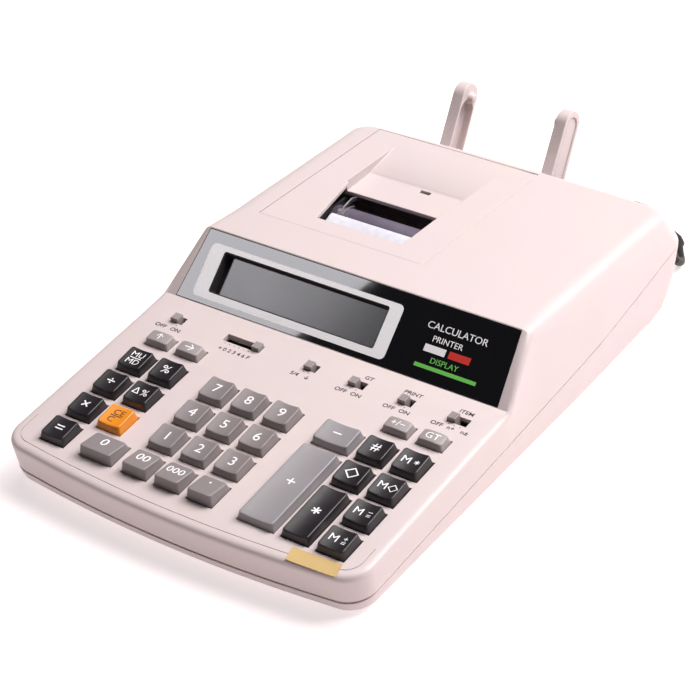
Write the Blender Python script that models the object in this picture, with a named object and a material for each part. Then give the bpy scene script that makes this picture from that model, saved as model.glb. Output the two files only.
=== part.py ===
"""Desktop printing calculator: keyboard case, sloping display, paper printer and paper-roll arms.

All sizes in this file are millimetres and degrees; mesh data is scaled to metres as it is made.
X runs to the right, Y to the rear and Z up. "Machine" positions count Y from the row of the
1-2-3 keys; the empty that carries every piece moves them, so that the origin is at the middle
of the footprint, on the table. "Deck" positions (x, v, n) run along the sloping keyboard deck:
v to the rear and n straight out of it.
"""
import math

import bmesh
import bpy
from mathutils import Vector

MM = 0.001
GAP = 0.3

# ---------------------------------------------------------------- driving dimensions
KEY_PITCH = 20.0
DECK_SLOPE = math.radians(5.0)
DECK_HEIGHT = 29.2
FOOTPRINT_MIDDLE_Y = 141.991
WALL = 2.5

FRONT_Y = -44.0
FRONT_BOW = 5.5
FRONT_CORNER = 15.0
DECK_HALF_WIDTH = 108.2
SEAM_HALF_WIDTH = 107.4
SEAM_FRONT_Y = -41.3
SEAM_REAR_Y = 276.5
BASE_BOTTOM = 3.0

PANEL_FOOT_Y = 94.8
PANEL_ANGLE = math.radians(42.0)
PANEL_SLANT = 40.8
HOOD_HALF_WIDTH = 100.6
HOOD_REAR_HALF_WIDTH = 99.4
HOOD_REAR_Y = 270.5
HOOD_FALL = math.radians(2.7)
REAR_CORNER = 12.0

KEY_BASE = (15.3, 15.2)
KEY_HEIGHT = (4.4, 5.3)
KEY_BELOW_DECK = 3.6
KEY_HOLE_GAP = 0.45
DIGIT_COLUMNS = (-29.5, -9.5, 10.5)
FUNCTION_COLUMNS = (-81.8, -61.9)
PLUS_COLUMN = 43.8
RIGHT_COLUMNS = (66.3, 86.3)
ROWS = (-KEY_PITCH, 0.0, KEY_PITCH, 2 * KEY_PITCH)

SLOT_ROW = (76.3, 81.8)

PAPER_X = -28.0
COVER_X = (-84.0, 20.6)
COVER_Y = (150.5, 264.5)
WINDOW_X = (-56.0, 0.0)
WINDOW_Y = (162.5, 204.0)
SHELF_Z = 54.6
RAMP_Y = (226.0, 251.0)

ARM_THICKNESS = 7.0
ARM_WIDTH = 18.0
ARM_INNER_SPACING = 61.0
ARM_PIVOT = (284.0, 16.0)
ARM_TIP = (319.0, 58.5)
ARM_KNEE = (300.5, 28.5)

PLATEN_CENTRE = (190.5, 42.5)
PLATEN_RADIUS = 9.5
TYPE_SHAFT_CENTRE = (169.0, 38.0)
FRAME_X = (-66.0, 12.0)

CORD_DIAMETER = 4.8
CORD_EXIT = (88.5, 274.4, 26.5)
COIL_CENTRE = (42.4, 301.8)
COIL_MEAN_DIAMETER = 52.8
COIL_TURNS_WIDE = 4
COIL_TURNS_HIGH = 2

PLUG_SIZE = (33.0, 16.0, 13.6)
PLUG_PLACE = (-28.2, 305.8)
PLUG_HEADING = math.radians(212.0)
PIN_LENGTH = 19.0
PIN_SPACING = 9.6
TAIL_LENGTH = 11.5


# ---------------------------------------------------------------- scene helpers
def clear_scene():
    for old in list(bpy.data.objects):
        bpy.data.objects.remove(old, do_unlink=True)


def make_material(name, colour, roughness=0.5, metallic=0.0):
    material = bpy.data.materials.new(name)
    material.use_nodes = True
    shader = material.node_tree.nodes["Principled BSDF"]
    shader.inputs["Base Color"].default_value = (*colour, 1.0)
    shader.inputs["Roughness"].default_value = roughness
    shader.inputs["Metallic"].default_value = metallic
    return material


def scaled(point):
    return Vector(point) * MM


def mesh_from(vertices, faces):
    mesh = bpy.data.meshes.new("mesh")
    mesh.from_pydata([scaled(v) for v in vertices], [], faces)
    bm = bmesh.new()
    bm.from_mesh(mesh)
    bmesh.ops.recalc_face_normals(bm, faces=bm.faces)
    bm.to_mesh(mesh)
    bm.free()
    return mesh


def add_object(name, mesh, material=None, at=(0, 0, 0), tilt=0.0):
    """Add a piece at a machine position, turned about X by tilt, carried by the machine empty."""
    piece = bpy.data.objects.new(name, mesh)
    bpy.context.collection.objects.link(piece)
    piece.parent = MACHINE
    piece.location = scaled(at)
    piece.rotation_euler = (tilt, 0, 0)
    if material:
        mesh.materials.append(material)
    mesh.shade_smooth()
    mesh.set_sharp_from_angle(angle=math.radians(32))
    return piece


def hide_cutter(piece):
    piece.hide_render = True
    piece.display_type = "WIRE"
    return piece


def boolean(piece, cutter, operation="DIFFERENCE"):
    modifier = piece.modifiers.new(operation.lower(), "BOOLEAN")
    modifier.operation = operation
    modifier.solver = "EXACT"
    modifier.object = hide_cutter(cutter)


def box_data(boxes):
    """Vertices and faces of separate boxes, each given as (low corner, high corner)."""
    vertices, faces = [], []
    for low, high in boxes:
        start = len(vertices)
        vertices += [(x, y, z) for z in (low[2], high[2]) for y in (low[1], high[1])
                     for x in (low[0], high[0])]
        faces += [[start + i for i in face] for face in
                  ((0, 2, 3, 1), (4, 5, 7, 6), (0, 1, 5, 4), (2, 6, 7, 3), (0, 4, 6, 2), (1, 3, 7, 5))]
    return vertices, faces


def add_boxes(name, boxes, material=None, at=(0, 0, 0), tilt=0.0, edge=0.0):
    piece = add_object(name, mesh_from(*box_data(boxes)), material, at, tilt)
    if edge:
        bevel = piece.modifiers.new("edges", "BEVEL")
        bevel.width = edge * MM
        bevel.segments = 2
    return piece


def prism_x(name, outline, x_low, x_high, material=None, at=(0, 0, 0)):
    """A plate whose (y, z) outline is pushed from x_low to x_high."""
    count = len(outline)
    vertices = [(x, y, z) for x in (x_low, x_high) for y, z in outline]
    faces = [list(range(count)), [count + i for i in range(count)]]
    faces += [[i, (i + 1) % count, count + (i + 1) % count, count + i] for i in range(count)]
    return add_object(name, mesh_from(vertices, faces), material, at)


def rod_x(name, centre, radii, material=None, sides=24, local=False):
    """A shaft along X: radii is a list of (x, radius); local puts its origin on its axis."""
    y, z = (0, 0) if local else centre
    vertices = [(x, y + r * math.cos(a), z + r * math.sin(a)) for x, r in radii
                for a in (2 * math.pi * k / sides for k in range(sides))]
    rings = len(radii)
    faces = [list(range(sides)), [(rings - 1) * sides + k for k in range(sides)]]
    faces += [[j * sides + k, j * sides + (k + 1) % sides, (j + 1) * sides + (k + 1) % sides,
               (j + 1) * sides + k] for j in range(rings - 1) for k in range(sides)]
    at = (0, *centre) if local else (0, 0, 0)
    return add_object(name, mesh_from(vertices, faces), material, at)


def deck_to_machine(x, v, n):
    sine, cosine = math.sin(DECK_SLOPE), math.cos(DECK_SLOPE)
    return (x, v * cosine - n * sine, v * sine + n * cosine + DECK_HEIGHT)


# ---------------------------------------------------------------- case shape
def blend(value, stops):
    """Straight-line value through (position, value) stops."""
    if value <= stops[0][0]:
        return stops[0][1]
    for (a, p), (b, q) in zip(stops, stops[1:]):
        if value <= b:
            return p + (q - p) * (value - a) / (b - a)
    return stops[-1][1]


def deck_z(y):
    return DECK_HEIGHT + y * math.tan(DECK_SLOPE)


PANEL_TOP_Y = PANEL_FOOT_Y + PANEL_SLANT * math.cos(PANEL_ANGLE)
PANEL_TOP_Z = deck_z(PANEL_FOOT_Y) + PANEL_SLANT * math.sin(PANEL_ANGLE)


def top_z(y):
    """Height of the case's upper surface: deck, display slope, then the hood that falls rearward."""
    if y <= PANEL_FOOT_Y:
        return deck_z(y)
    if y <= PANEL_TOP_Y:
        return deck_z(PANEL_FOOT_Y) + (y - PANEL_FOOT_Y) * math.tan(PANEL_ANGLE)
    return PANEL_TOP_Z - (y - PANEL_TOP_Y) * math.tan(HOOD_FALL)


def seam_z(y):
    """Height of the seam between the two halves of the case."""
    return 12.6 + 0.075 * y + 0.0005 * max(0.0, y - 150.0) ** 2


def half_outline(front_y, bow, half_widths, front_corner, rear_corner, rear_y):
    """Right-hand half of a plan outline, front middle to rear middle, with its inward directions."""
    points = []
    width = blend(front_y, half_widths)
    reach = width - front_corner
    for part in (0.0, 0.35, 0.7):
        points.append((reach * part, front_y + bow * part ** 2, 0.0, 1.0))
    for step in range(5):
        angle = math.radians(-83 + 83 * step / 4)
        points.append((reach + front_corner * math.cos(angle),
                       front_y + bow + front_corner * (1 + math.sin(angle)),
                       -math.cos(angle), -math.sin(angle)))
    for y in (30.0, PANEL_FOOT_Y, PANEL_TOP_Y, 165.0, 205.0, 236.0):
        points.append((blend(y, half_widths), y, -1.0, 0.0))
    width = blend(rear_y, half_widths)
    for step in range(5):
        angle = math.radians(90 * step / 4)
        points.append((width - rear_corner + rear_corner * math.cos(angle),
                       rear_y - 2 - rear_corner + rear_corner * math.sin(angle),
                       -math.cos(angle), -math.sin(angle)))
    points.append((0.5 * width, rear_y - 0.5, 0.0, -1.0))
    points.append((0.0, rear_y, 0.0, -1.0))
    return points


TOP_WIDTHS = ((80.0, DECK_HALF_WIDTH), (PANEL_FOOT_Y, 107.8), (PANEL_TOP_Y, HOOD_HALF_WIDTH),
              (165.0, HOOD_HALF_WIDTH), (250.0, HOOD_REAR_HALF_WIDTH))
SEAM_WIDTHS = ((165.0, SEAM_HALF_WIDTH), (250.0, 106.0))
EDGE_RADII = ((80.0, 4.0), (PANEL_FOOT_Y, 2.5), (PANEL_TOP_Y, 6.0), (150.0, 9.0), (250.0, 7.0))


def top_outline():
    return half_outline(FRONT_Y, FRONT_BOW, TOP_WIDTHS, FRONT_CORNER, REAR_CORNER, HOOD_REAR_Y)


def seam_outline(inset=0.0, rear_y=SEAM_REAR_Y, narrower=0.0):
    points = half_outline(SEAM_FRONT_Y, FRONT_BOW, SEAM_WIDTHS, FRONT_CORNER, REAR_CORNER, rear_y)
    shift = inset + narrower
    return [(x + shift * ix, y + shift * iy, ix, iy) for x, y, ix, iy in points]


def upper_rings(inset):
    """Rings of the upper shell from the seam up over its rounded edge, moved inward by inset."""
    rings = [[], [], [], [], []]
    for (tx, ty, ix, iy), (sx, sy, jx, jy) in zip(top_outline(), seam_outline()):
        radius = max(0.8, blend(ty, EDGE_RADII) - inset)
        corner = Vector((tx + inset * ix, ty + inset * iy, top_z(ty) - inset))
        seam = Vector((sx + inset * jx, sy + inset * jy, seam_z(sy)))
        down = corner + (seam - corner).normalized() * radius
        inner_y = corner.y + radius * iy
        inner = Vector((corner.x + radius * ix, inner_y, top_z(inner_y) - inset))
        rings[0].append(seam)
        for ring, t in zip(rings[1:], (0.0, 0.35, 0.7, 1.0)):
            ring.append(down * (1 - t) ** 2 + corner * (2 * t * (1 - t)) + inner * t ** 2)
    return rings


def lower_rings(inset, floor_z):
    """Rings of the lower shell from the seam down to the floor, moved inward by inset."""
    rings = []
    for fall, narrower, rear_y in ((0.0, 0.0, SEAM_REAR_Y), (0.5, 0.8, 272.0),
                                   (0.88, 1.6, 263.5), (1.0, 3.4, 255.5)):
        ring = []
        for x, y, ix, iy in seam_outline(inset, rear_y, narrower):
            high = seam_z(y) - GAP
            ring.append(Vector((x, y, high + (floor_z - high) * fall)))
        rings.append(ring)
    return rings


def closed_rings(half_rings):
    """Complete each half ring with its mirror image, going right side out and left side back."""
    return [ring + [Vector((-p.x, p.y, p.z)) for p in reversed(ring[1:-1])] for ring in half_rings]


def loft(rings):
    """Solid through closed rings, with both end rings closed by strips across X."""
    count = len(rings[0])
    vertices = [tuple(point) for ring in rings for point in ring]
    faces = []
    for r in range(len(rings) - 1):
        for k in range(count):
            faces.append([r * count + k, r * count + (k + 1) % count,
                          (r + 1) * count + (k + 1) % count, (r + 1) * count + k])
    half = count // 2
    for r in (0, len(rings) - 1):
        start = r * count
        faces.append([start, start + 1, start + count - 1])
        for k in range(1, half - 1):
            faces.append([start + k, start + k + 1, start + count - k - 1, start + count - k])
        faces.append([start + half - 1, start + half, start + half + 1])
    return vertices, faces


def shell_object(name, outer, inner, material=None):
    """A thin shell open at its first rings: outer and inner lofts joined along the rim."""
    rings = list(reversed(closed_rings(inner))) + closed_rings(outer)
    vertices, faces = loft(rings)
    return add_object(name, mesh_from(vertices, faces), material)


# ---------------------------------------------------------------- keys
def key_table():
    """Every key as (name, x, v, width, depth, family)."""
    keys = []
    function_names = (("equals", None), ("multiply", "clear_entry"), ("divide", "delta_percent"),
                      ("markup", "percent"))
    for v, names in zip(ROWS, function_names):
        for x, name in zip(FUNCTION_COLUMNS, names):
            if name:
                family = "orange" if name == "clear_entry" else "black"
                keys.append((name, x, v, *KEY_BASE, family))
    keys.append(("0", -53.7, ROWS[0], KEY_PITCH, KEY_BASE[1], "low"))
    for x, name in zip(DIGIT_COLUMNS, ("00", "000", "point")):
        keys.append((name, x, ROWS[0], *KEY_BASE, "low"))
    for row, v in enumerate(ROWS[1:]):
        for column, x in enumerate(DIGIT_COLUMNS):
            keys.append((str(1 + column + 3 * row), x, v, *KEY_BASE, "digit"))
    keys.append(("minus", PLUS_COLUMN, ROWS[3], 21.2, KEY_BASE[1], "operator"))
    keys.append(("plus", PLUS_COLUMN, 0.0, 21.2, 55.2, "operator"))
    keys.append(("total", RIGHT_COLUMNS[0], -9.9, 15.8, 35.0, "black"))
    keys.append(("subtotal", RIGHT_COLUMNS[0], ROWS[2], 15.8, KEY_BASE[1], "black"))
    keys.append(("number", RIGHT_COLUMNS[0], ROWS[3], 15.8, KEY_BASE[1], "black"))
    for v, name in zip(ROWS, ("memory_plus", "memory_minus", "memory_subtotal", "memory_total")):
        keys.append((name, RIGHT_COLUMNS[1], v, 15.8, KEY_BASE[1], "black"))
    for x, name in ((-81.8, "paper_feed"), (-62.3, "shift_right"), (65.9, "sign_change"),
                    (85.9, "grand_total")):
        keys.append((name, x, 59.9, 15.0, 9.0, "small"))
    return keys


def key_mesh(width, depth, family):
    """A tapered cap with a dished or sculpted top, open to nothing: one closed solid."""
    across, along = 4, 4
    front, rear = {"low": (6.2, 3.8), "small": (3.4, 3.9)}.get(family, KEY_HEIGHT)
    top_w, top_d = width - 1.7, depth - 1.7
    dish = {"low": 0.0, "small": -0.45}.get(family, 0.75)
    vertices, rings = [], []

    def ring(w, d, height):
        start = len(vertices)
        for k in range(4):
            sx, sy, ex, ey = ((-1, -1, 1, -1), (1, -1, 1, 1), (1, 1, -1, 1), (-1, 1, -1, -1))[k]
            steps = across if k % 2 == 0 else along
            for i in range(steps):
                x = (sx + (ex - sx) * i / steps) * w / 2
                y = (sy + (ey - sy) * i / steps) * d / 2
                vertices.append((x, y, height(x, y)))
        rings.append(list(range(start, len(vertices))))

    def top(x, y):
        rise = front + (rear - front) * (y + top_d / 2) / top_d
        return rise - dish * (1 - (2 * x / top_w) ** 2)

    ring(width, depth, lambda x, y: -KEY_BELOW_DECK)
    ring(width, depth, lambda x, y: 0.3)
    ring(top_w + 0.3, top_d + 0.3, lambda x, y: top(x, y) - 0.5)
    ring(top_w - 0.5, top_d - 0.5, top)
    faces = [list(reversed(rings[0]))]
    for lower, upper in zip(rings, rings[1:]):
        size = len(lower)
        faces += [[lower[i], lower[(i + 1) % size], upper[(i + 1) % size], upper[i]]
                  for i in range(size)]
    edge = rings[-1]
    grid = [[edge[i] for i in range(across + 1)]]
    for j in range(1, along):
        row = [edge[len(edge) - j]]
        for i in range(1, across):
            x = (-1 + 2 * i / across) * (top_w - 0.5) / 2
            y = (-1 + 2 * j / along) * (top_d - 0.5) / 2
            vertices.append((x, y, top(x, y)))
            row.append(len(vertices) - 1)
        row.append(edge[across + j])
        grid.append(row)
    grid.append([edge[2 * across + along - i] for i in range(across + 1)])
    for low, high in zip(grid, grid[1:]):
        faces += [[low[i], low[i + 1], high[i + 1], high[i]] for i in range(across)]
    return mesh_from(vertices, faces)


def add_keys():
    colours = {"black": BLACK_KEY, "orange": ORANGE_KEY, "low": DIGIT_KEY, "digit": DIGIT_KEY,
               "operator": OPERATOR_KEY, "small": SMALL_KEY}
    for name, x, v, width, depth, family in key_table():
        add_object("key_" + name, key_mesh(width, depth, family), colours[family],
                   deck_to_machine(x, v, 0), DECK_SLOPE)


# ---------------------------------------------------------------- slide switches
# name, slot's left end, slot's right end, knob's place at rest (0 left, 1 right)
SWITCHES = (("power", -88.7, -81.1, 0), ("decimal", -54.3, -30.8, 1), ("rounding", -3.3, 4.2, 0),
            ("grand_total_mode", 23.8, 33.3, 0), ("print_mode", 53.5, 61.8, 0),
            ("item_count", 82.5, 93.7, 0))
KNOB_WIDTH = 4.8
KNOB_RIBS = 4


def knob_rest_x(left, right, place):
    return right - KNOB_WIDTH / 2 - GAP if place else left + KNOB_WIDTH / 2 + GAP


def add_switches():
    middle = sum(SLOT_ROW) / 2
    for name, left, right, place in SWITCHES:
        half = KNOB_WIDTH / 2
        steps = [(-half, -4.2), (half, -4.2), (half, 1.2)]
        for rib in range(KNOB_RIBS):
            crest = half - KNOB_WIDTH * rib / KNOB_RIBS
            groove = crest - KNOB_WIDTH / (2 * KNOB_RIBS)
            steps += [(crest - 0.1, 2.6), (groove, 2.6), (groove - 0.1, 2.0)]
        steps += [(-half, 1.2)]
        depth = (SLOT_ROW[1] - SLOT_ROW[0]) / 2 - 0.35
        count = len(steps)
        vertices = [(x, y, z) for y in (-depth, depth) for x, z in steps]
        faces = [list(range(count)), [count + i for i in range(count)]]
        faces += [[i, (i + 1) % count, count + (i + 1) % count, count + i] for i in range(count)]
        add_object("switch_" + name, mesh_from(vertices, faces), SWITCH_GREY,
                   deck_to_machine(knob_rest_x(left, right, place), middle, 0), DECK_SLOPE)


# ---------------------------------------------------------------- case
def panel_point(slant, out):
    """(y, z) on the display slope, out straight away from it."""
    return (PANEL_FOOT_Y + slant * math.cos(PANEL_ANGLE) - out * math.sin(PANEL_ANGLE),
            deck_z(PANEL_FOOT_Y) + slant * math.sin(PANEL_ANGLE) + out * math.cos(PANEL_ANGLE))


def panel_plate(name, low, high, bottom_half, top_half, x_middle=0.0, material=None, slants=(0, 40)):
    """A flat plate lying along the display slope, from low to high above it."""
    vertices = []
    for out in (low, high):
        for slant, half in ((slants[0], bottom_half), (slants[1], top_half)):
            y, z = panel_point(slant, out)
            vertices += [(x_middle - half, y, z), (x_middle + half, y, z)]
    faces = ((0, 1, 3, 2), (4, 6, 7, 5), (0, 4, 5, 1), (2, 3, 7, 6), (0, 2, 6, 4), (1, 5, 7, 3))
    return add_object(name, mesh_from(vertices, faces), material)


PANEL_RECESS = 1.9
PANEL_SLANTS = (0.2, 40.2)
DISPLAY_X = (-81.6, 23.0)
DISPLAY_SLANTS = (7.6, 30.4)


def cover_prism(name, shrink):
    """The upright block that the lift-off printer cover is cut along."""
    low = (COVER_X[0] + shrink, COVER_Y[0] + shrink, 40.0)
    high = (COVER_X[1] - shrink, COVER_Y[1] - shrink, 90.0)
    return add_boxes(name, [(low, high)])


def add_upper_case():
    case = shell_object("upper_case", upper_rings(0.0), upper_rings(WALL), CASE)
    holes = []
    for _, x, v, width, depth, _ in key_table():
        w, d = width / 2 + KEY_HOLE_GAP, depth / 2 + KEY_HOLE_GAP
        holes.append(((x - w, v - d, -6.0), (x + w, v + d, 3.0)))
    for _, left, right, _ in SWITCHES:
        holes.append(((left, SLOT_ROW[0], -6.0), (right, SLOT_ROW[1], 3.0)))
    boolean(case, add_boxes("cut_deck_holes", holes, at=deck_to_machine(0, 0, 0), tilt=DECK_SLOPE))
    boolean(case, panel_plate("cut_panel_recess", -PANEL_RECESS, 4.0, 99.9, 96.2,
                              slants=PANEL_SLANTS))
    middle, half = sum(DISPLAY_X) / 2, (DISPLAY_X[1] - DISPLAY_X[0]) / 2 + 3.0
    boolean(case, panel_plate("cut_display_hole", -9.0, 4.0, half, half, middle, slants=(4.6, 33.4)))
    boolean(case, cover_prism("cut_cover_opening", 0.0))
    return case


def add_lower_case():
    tray = shell_object("lower_case", lower_rings(0.0, BASE_BOTTOM),
                        lower_rings(WALL, BASE_BOTTOM + WALL), CASE)
    y, z = ARM_PIVOT
    x_low = PAPER_X - ARM_INNER_SPACING / 2 + 0.6
    x_high = PAPER_X + ARM_INNER_SPACING / 2 - 0.6
    beam = [(y + 4.6 * math.cos(a), z + 4.6 * math.sin(a))
            for a in (math.radians(d) for d in range(-90, 91, 30))]
    beam += [(264.5, z + 4.6), (264.5, z - 4.6)]
    boolean(tray, prism_x("add_arm_beam", beam, x_low, x_high), "UNION")
    pin_reach = ARM_THICKNESS + 1.2
    boolean(tray, rod_x("add_arm_pin", ARM_PIVOT, [(x_low - pin_reach, 2.4), (x_high + pin_reach, 2.4)],
                        sides=16), "UNION")
    hole = rod_x("cut_cord_hole", (0, 0), [(-8, 3.4), (2, 3.4)], sides=16)
    hole.location = scaled(CORD_EXIT)
    hole.rotation_euler = (0, 0, math.radians(90))
    boolean(tray, hole)
    return tray


def ramp_outline(thick):
    """(y, z) outline of the paper trough: shelf, then the ramp up to the hood, thick below it."""
    y_front = WINDOW_Y[1]
    return [(y_front, SHELF_Z - thick), (RAMP_Y[0], SHELF_Z - thick),
            (RAMP_Y[1], top_z(RAMP_Y[1]) - thick), (RAMP_Y[1], top_z(RAMP_Y[1]) + 4.0),
            (y_front, top_z(y_front) + 4.0)]


def add_printer_cover():
    """The lift-off cover: a slice of the hood with the paper window and the sloping paper trough."""
    cover = shell_object("printer_cover", upper_rings(0.0), upper_rings(WALL), CASE)
    boolean(cover, cover_prism("keep_cover", 0.35), "INTERSECT")
    left, right = WINDOW_X[0] - 8.5, WINDOW_X[1] + 1.5
    tray = [(WINDOW_Y[1] - 0.1, SHELF_Z - 2.2), (RAMP_Y[0] + 1, SHELF_Z - 2.2),
            (RAMP_Y[1] + 4, top_z(RAMP_Y[1]) - 2.4), (RAMP_Y[1] + 4, top_z(RAMP_Y[1] + 4) - 0.4),
            (WINDOW_Y[1] - 0.1, top_z(WINDOW_Y[1]) - 0.4)]
    boolean(cover, prism_x("add_trough", tray, left - 2.0, right + 2.0), "UNION")
    boolean(cover, prism_x("cut_trough", ramp_outline(0.0), left, right))
    slot = add_boxes("cut_paper_notch", [((PAPER_X - 1.5, 222.0, 40.0), (PAPER_X + 5.0, 224.5, 70.0))])
    boolean(cover, slot)
    window = [(WINDOW_X[0] + 1.5, WINDOW_Y[0]), (WINDOW_X[1], WINDOW_Y[0]),
              (WINDOW_X[1], WINDOW_Y[1] + 0.2), (WINDOW_X[0] - 7.0, WINDOW_Y[1] + 0.2)]
    vertices = [(x, y, z) for z in (40.0, 80.0) for x, y in window]
    faces = ((3, 2, 1, 0), (4, 5, 6, 7), (0, 1, 5, 4), (1, 2, 6, 5), (2, 3, 7, 6), (3, 0, 4, 7))
    boolean(cover, add_object("cut_window", mesh_from(vertices, faces)))
    return cover


def add_display():
    """Black fascia with an opening, the smoked filter set into it."""
    fascia = panel_plate("display_panel", -PANEL_RECESS + GAP, 0.1, 99.5, 95.8, material=PANEL_BLACK,
                         slants=(0.55, 39.8))
    middle, half = sum(DISPLAY_X) / 2, (DISPLAY_X[1] - DISPLAY_X[0]) / 2
    boolean(fascia, panel_plate("cut_display_opening", -4.0, 3.0, half, half - 1.0, middle,
                                slants=DISPLAY_SLANTS))
    panel_plate("display_filter", -5.2, -3.4, half + 2.2, half + 2.2, middle, SMOKED_GLASS, (5.6, 32.4))


# ---------------------------------------------------------------- inner pieces
def add_inner_pieces():
    board = [((-96.0, -33.0, -13.6), (96.0, 86.0, -12.0))]
    add_boxes("circuit_board", board, BOARD_GREEN, deck_to_machine(0, 0, 0), DECK_SLOPE)

    x_low, x_high = FRAME_X
    (py, pz), (ty, tz) = PLATEN_CENTRE, TYPE_SHAFT_CENTRE
    plates = [(x, x + 1.2) for x in (x_low, x_high - 1.2)]
    frame = add_boxes("printer_frame", [((x_low, 158.0, 10.0), (x_high, 212.0, 11.2))], STEEL)
    side = [(158.0, 10.4), (212.0, 10.4), (212.0, 40.0), (203.0, 51.0), (160.0, 51.0), (158.0, 46.0)]
    for number, (a, b) in enumerate(plates):
        boolean(frame, prism_x(f"add_side_{number}", side, a, b), "UNION")
    boolean(frame, rod_x("cut_platen_bore", (py, pz), [(x_low - 2, 2.9), (x_high + 2, 2.9)], sides=20))
    boolean(frame, rod_x("cut_type_bore", (ty, tz), [(x_low - 2, 2.4), (x_high + 2, 2.4)], sides=20))

    ends = (x_low + 1.8, x_high - 1.8)
    rod_x("platen_roller", PLATEN_CENTRE,
          [(x_low - 1.5, 2.5), (ends[0], 2.5), (ends[0] + 0.01, PLATEN_RADIUS),
           (ends[1] - 0.01, PLATEN_RADIUS), (ends[1], 2.5), (x_high + 1.5, 2.5)],
          RUBBER, 32, local=True)
    wheels = [(x_low - 1.5, 2.0), (ends[0] + 4, 2.0)]
    start, wheel_count = ends[0] + 5.0, 11
    pitch = (ends[1] - ends[0] - 10.0) / wheel_count
    for number in range(wheel_count):
        left = start + number * pitch
        wheels += [(left, 2.0), (left + 0.05, 7.2), (left + pitch - 1.2, 7.2), (left + pitch - 1.15, 2.0)]
    wheels += [(x_high + 1.5, 2.0)]
    rod_x("type_wheel_shaft", TYPE_SHAFT_CENTRE, wheels, TYPE_METAL, 20, local=True)

    cutter = [(171.5, 53.6), (179.5, 55.2), (179.5, 56.0), (178.2, 56.2), (171.5, 54.6)]
    prism_x("paper_cutter", cutter, WINDOW_X[0] - 1, WINDOW_X[1] - 1, CUTTER_CLEAR)

    core = add_boxes("transformer", [((46.0, 196.0, 9.0), (88.0, 222.0, 44.0))], LAMINATION)
    boolean(core, add_boxes("add_winding", [((56.0, 188.0, 14.0), (78.0, 230.0, 39.0))]), "UNION")


# ---------------------------------------------------------------- paper-roll arms
def arm_outline():
    """(y, z) outline of an arm, local to its pivot: round foot, knee, straight blade, round tip."""
    pivot, knee, tip = (Vector(p) - Vector(ARM_PIVOT) for p in (ARM_PIVOT, ARM_KNEE, ARM_TIP))
    blade = (tip - knee).normalized()
    side = Vector((blade.y, -blade.x))
    half, foot = ARM_WIDTH / 2, 7.5
    lean = math.atan2(blade.y, blade.x)
    outline = [tuple(tip + (half - 0.6) * Vector((math.cos(lean + math.radians(d)),
                                                  math.sin(lean + math.radians(d)))))
               for d in range(-90, 91, 20)]
    outline += [tuple(knee - side * half)]
    outline += [tuple(pivot + foot * Vector((math.cos(math.radians(d)), math.sin(math.radians(d)))))
                for d in range(130, 311, 20)]
    outline += [tuple(knee + side * half - blade * 5.0)]
    return outline


def add_arm(name, x_inner, direction):
    """One arm; direction is +1 when it lies to the right of the roll and -1 to the left."""
    x_low, x_high = sorted((x_inner, x_inner + direction * ARM_THICKNESS))
    arm = prism_x(name, arm_outline(), x_low, x_high, CASE, at=(0, *ARM_PIVOT))
    origin = (0, *ARM_PIVOT)
    pivot = rod_x("cut_pivot_" + name, ARM_PIVOT, [(x_low - 1, 2.75), (x_high + 1, 2.75)], sides=16,
                  local=True)
    boolean(arm, pivot)
    knee, tip = (Vector(p) - Vector(ARM_PIVOT) for p in (ARM_KNEE, ARM_TIP))
    blade = (tip - knee).normalized()
    side = Vector((blade.y, -blade.x))
    rim, depth = 2.2, ARM_THICKNESS - 2.6
    half = ARM_WIDTH / 2 - rim
    foot = knee - blade * 4.0
    end = tip - blade * 9.0
    channel = [tuple(foot - side * half), tuple(foot + side * half), tuple(end + side * half),
               tuple(end - side * half)]
    cut_low, cut_high = sorted((x_inner - direction, x_inner + direction * depth))
    boolean(arm, prism_x("cut_channel_" + name, channel, cut_low, cut_high, at=origin))
    peg_low, peg_high = sorted((x_inner + direction * 1.0, x_inner - direction * 3.6))
    peg = rod_x("add_peg_" + name, ARM_TIP, [(peg_low, 3.4 if direction < 0 else 2.6),
                                             (peg_high, 2.6 if direction < 0 else 3.4)], sides=20)
    boolean(arm, peg, "UNION")


# ---------------------------------------------------------------- mains lead
RELIEF_ROUTE = ((88.5, 274.4, 26.5), (88.5, 279.0, 25.4), (88.9, 284.0, 21.9), (89.4, 288.0, 16.9),
                (89.8, 291.2, 11.6))
LEAD_ROUTE = ((90.0, 292.2, 10.2), (90.2, 296.0, 6.4), (89.2, 300.8, 3.6), (86.6, 305.4, 2.5),
              (83.2, 310.4, 2.4), (79.8, 316.0, 2.4), (76.0, 322.2, 2.4))
TAIL_ROUTE = ((25.3, 332.4, 7.1), (18.5, 330.6, 6.2), (11.6, 328.8, 5.4), (4.2, 325.9, 6.2),
              (-3.8, 321.1, 6.8))


def smooth_route(points, spacing):
    """Points along a smooth curve through the route's own points."""
    points = [Vector(p) for p in points]
    ends = [points[0] * 2 - points[1]] + points + [points[-1] * 2 - points[-2]]
    result = []
    for a, b, c, d in zip(ends, ends[1:], ends[2:], ends[3:]):
        steps = max(1, round((c - b).length / spacing))
        for k in range(steps):
            t = k / steps
            result.append(0.5 * (2 * b + (c - a) * t + (2 * a - 5 * b + 4 * c - d) * t * t
                                 + (3 * b - a - 3 * c + d) * t ** 3))
    return result + [points[-1]]


def add_tube(name, points, radii, material):
    """A round tube through the points; radii are its first and its last radius."""
    curve = bpy.data.curves.new(name, "CURVE")
    curve.dimensions = "3D"
    curve.bevel_depth = MM
    curve.bevel_resolution = 3
    curve.use_fill_caps = True
    spline = curve.splines.new("POLY")
    last = len(points) - 1
    spline.points.add(last)
    for k, (slot, point) in enumerate(zip(spline.points, points)):
        slot.co = (*scaled(point), 1.0)
        slot.radius = radii[0] + (radii[1] - radii[0]) * k / last
    curve.materials.append(material)
    tube = bpy.data.objects.new(name, curve)
    bpy.context.collection.objects.link(tube)
    tube.parent = MACHINE
    return tube


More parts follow.
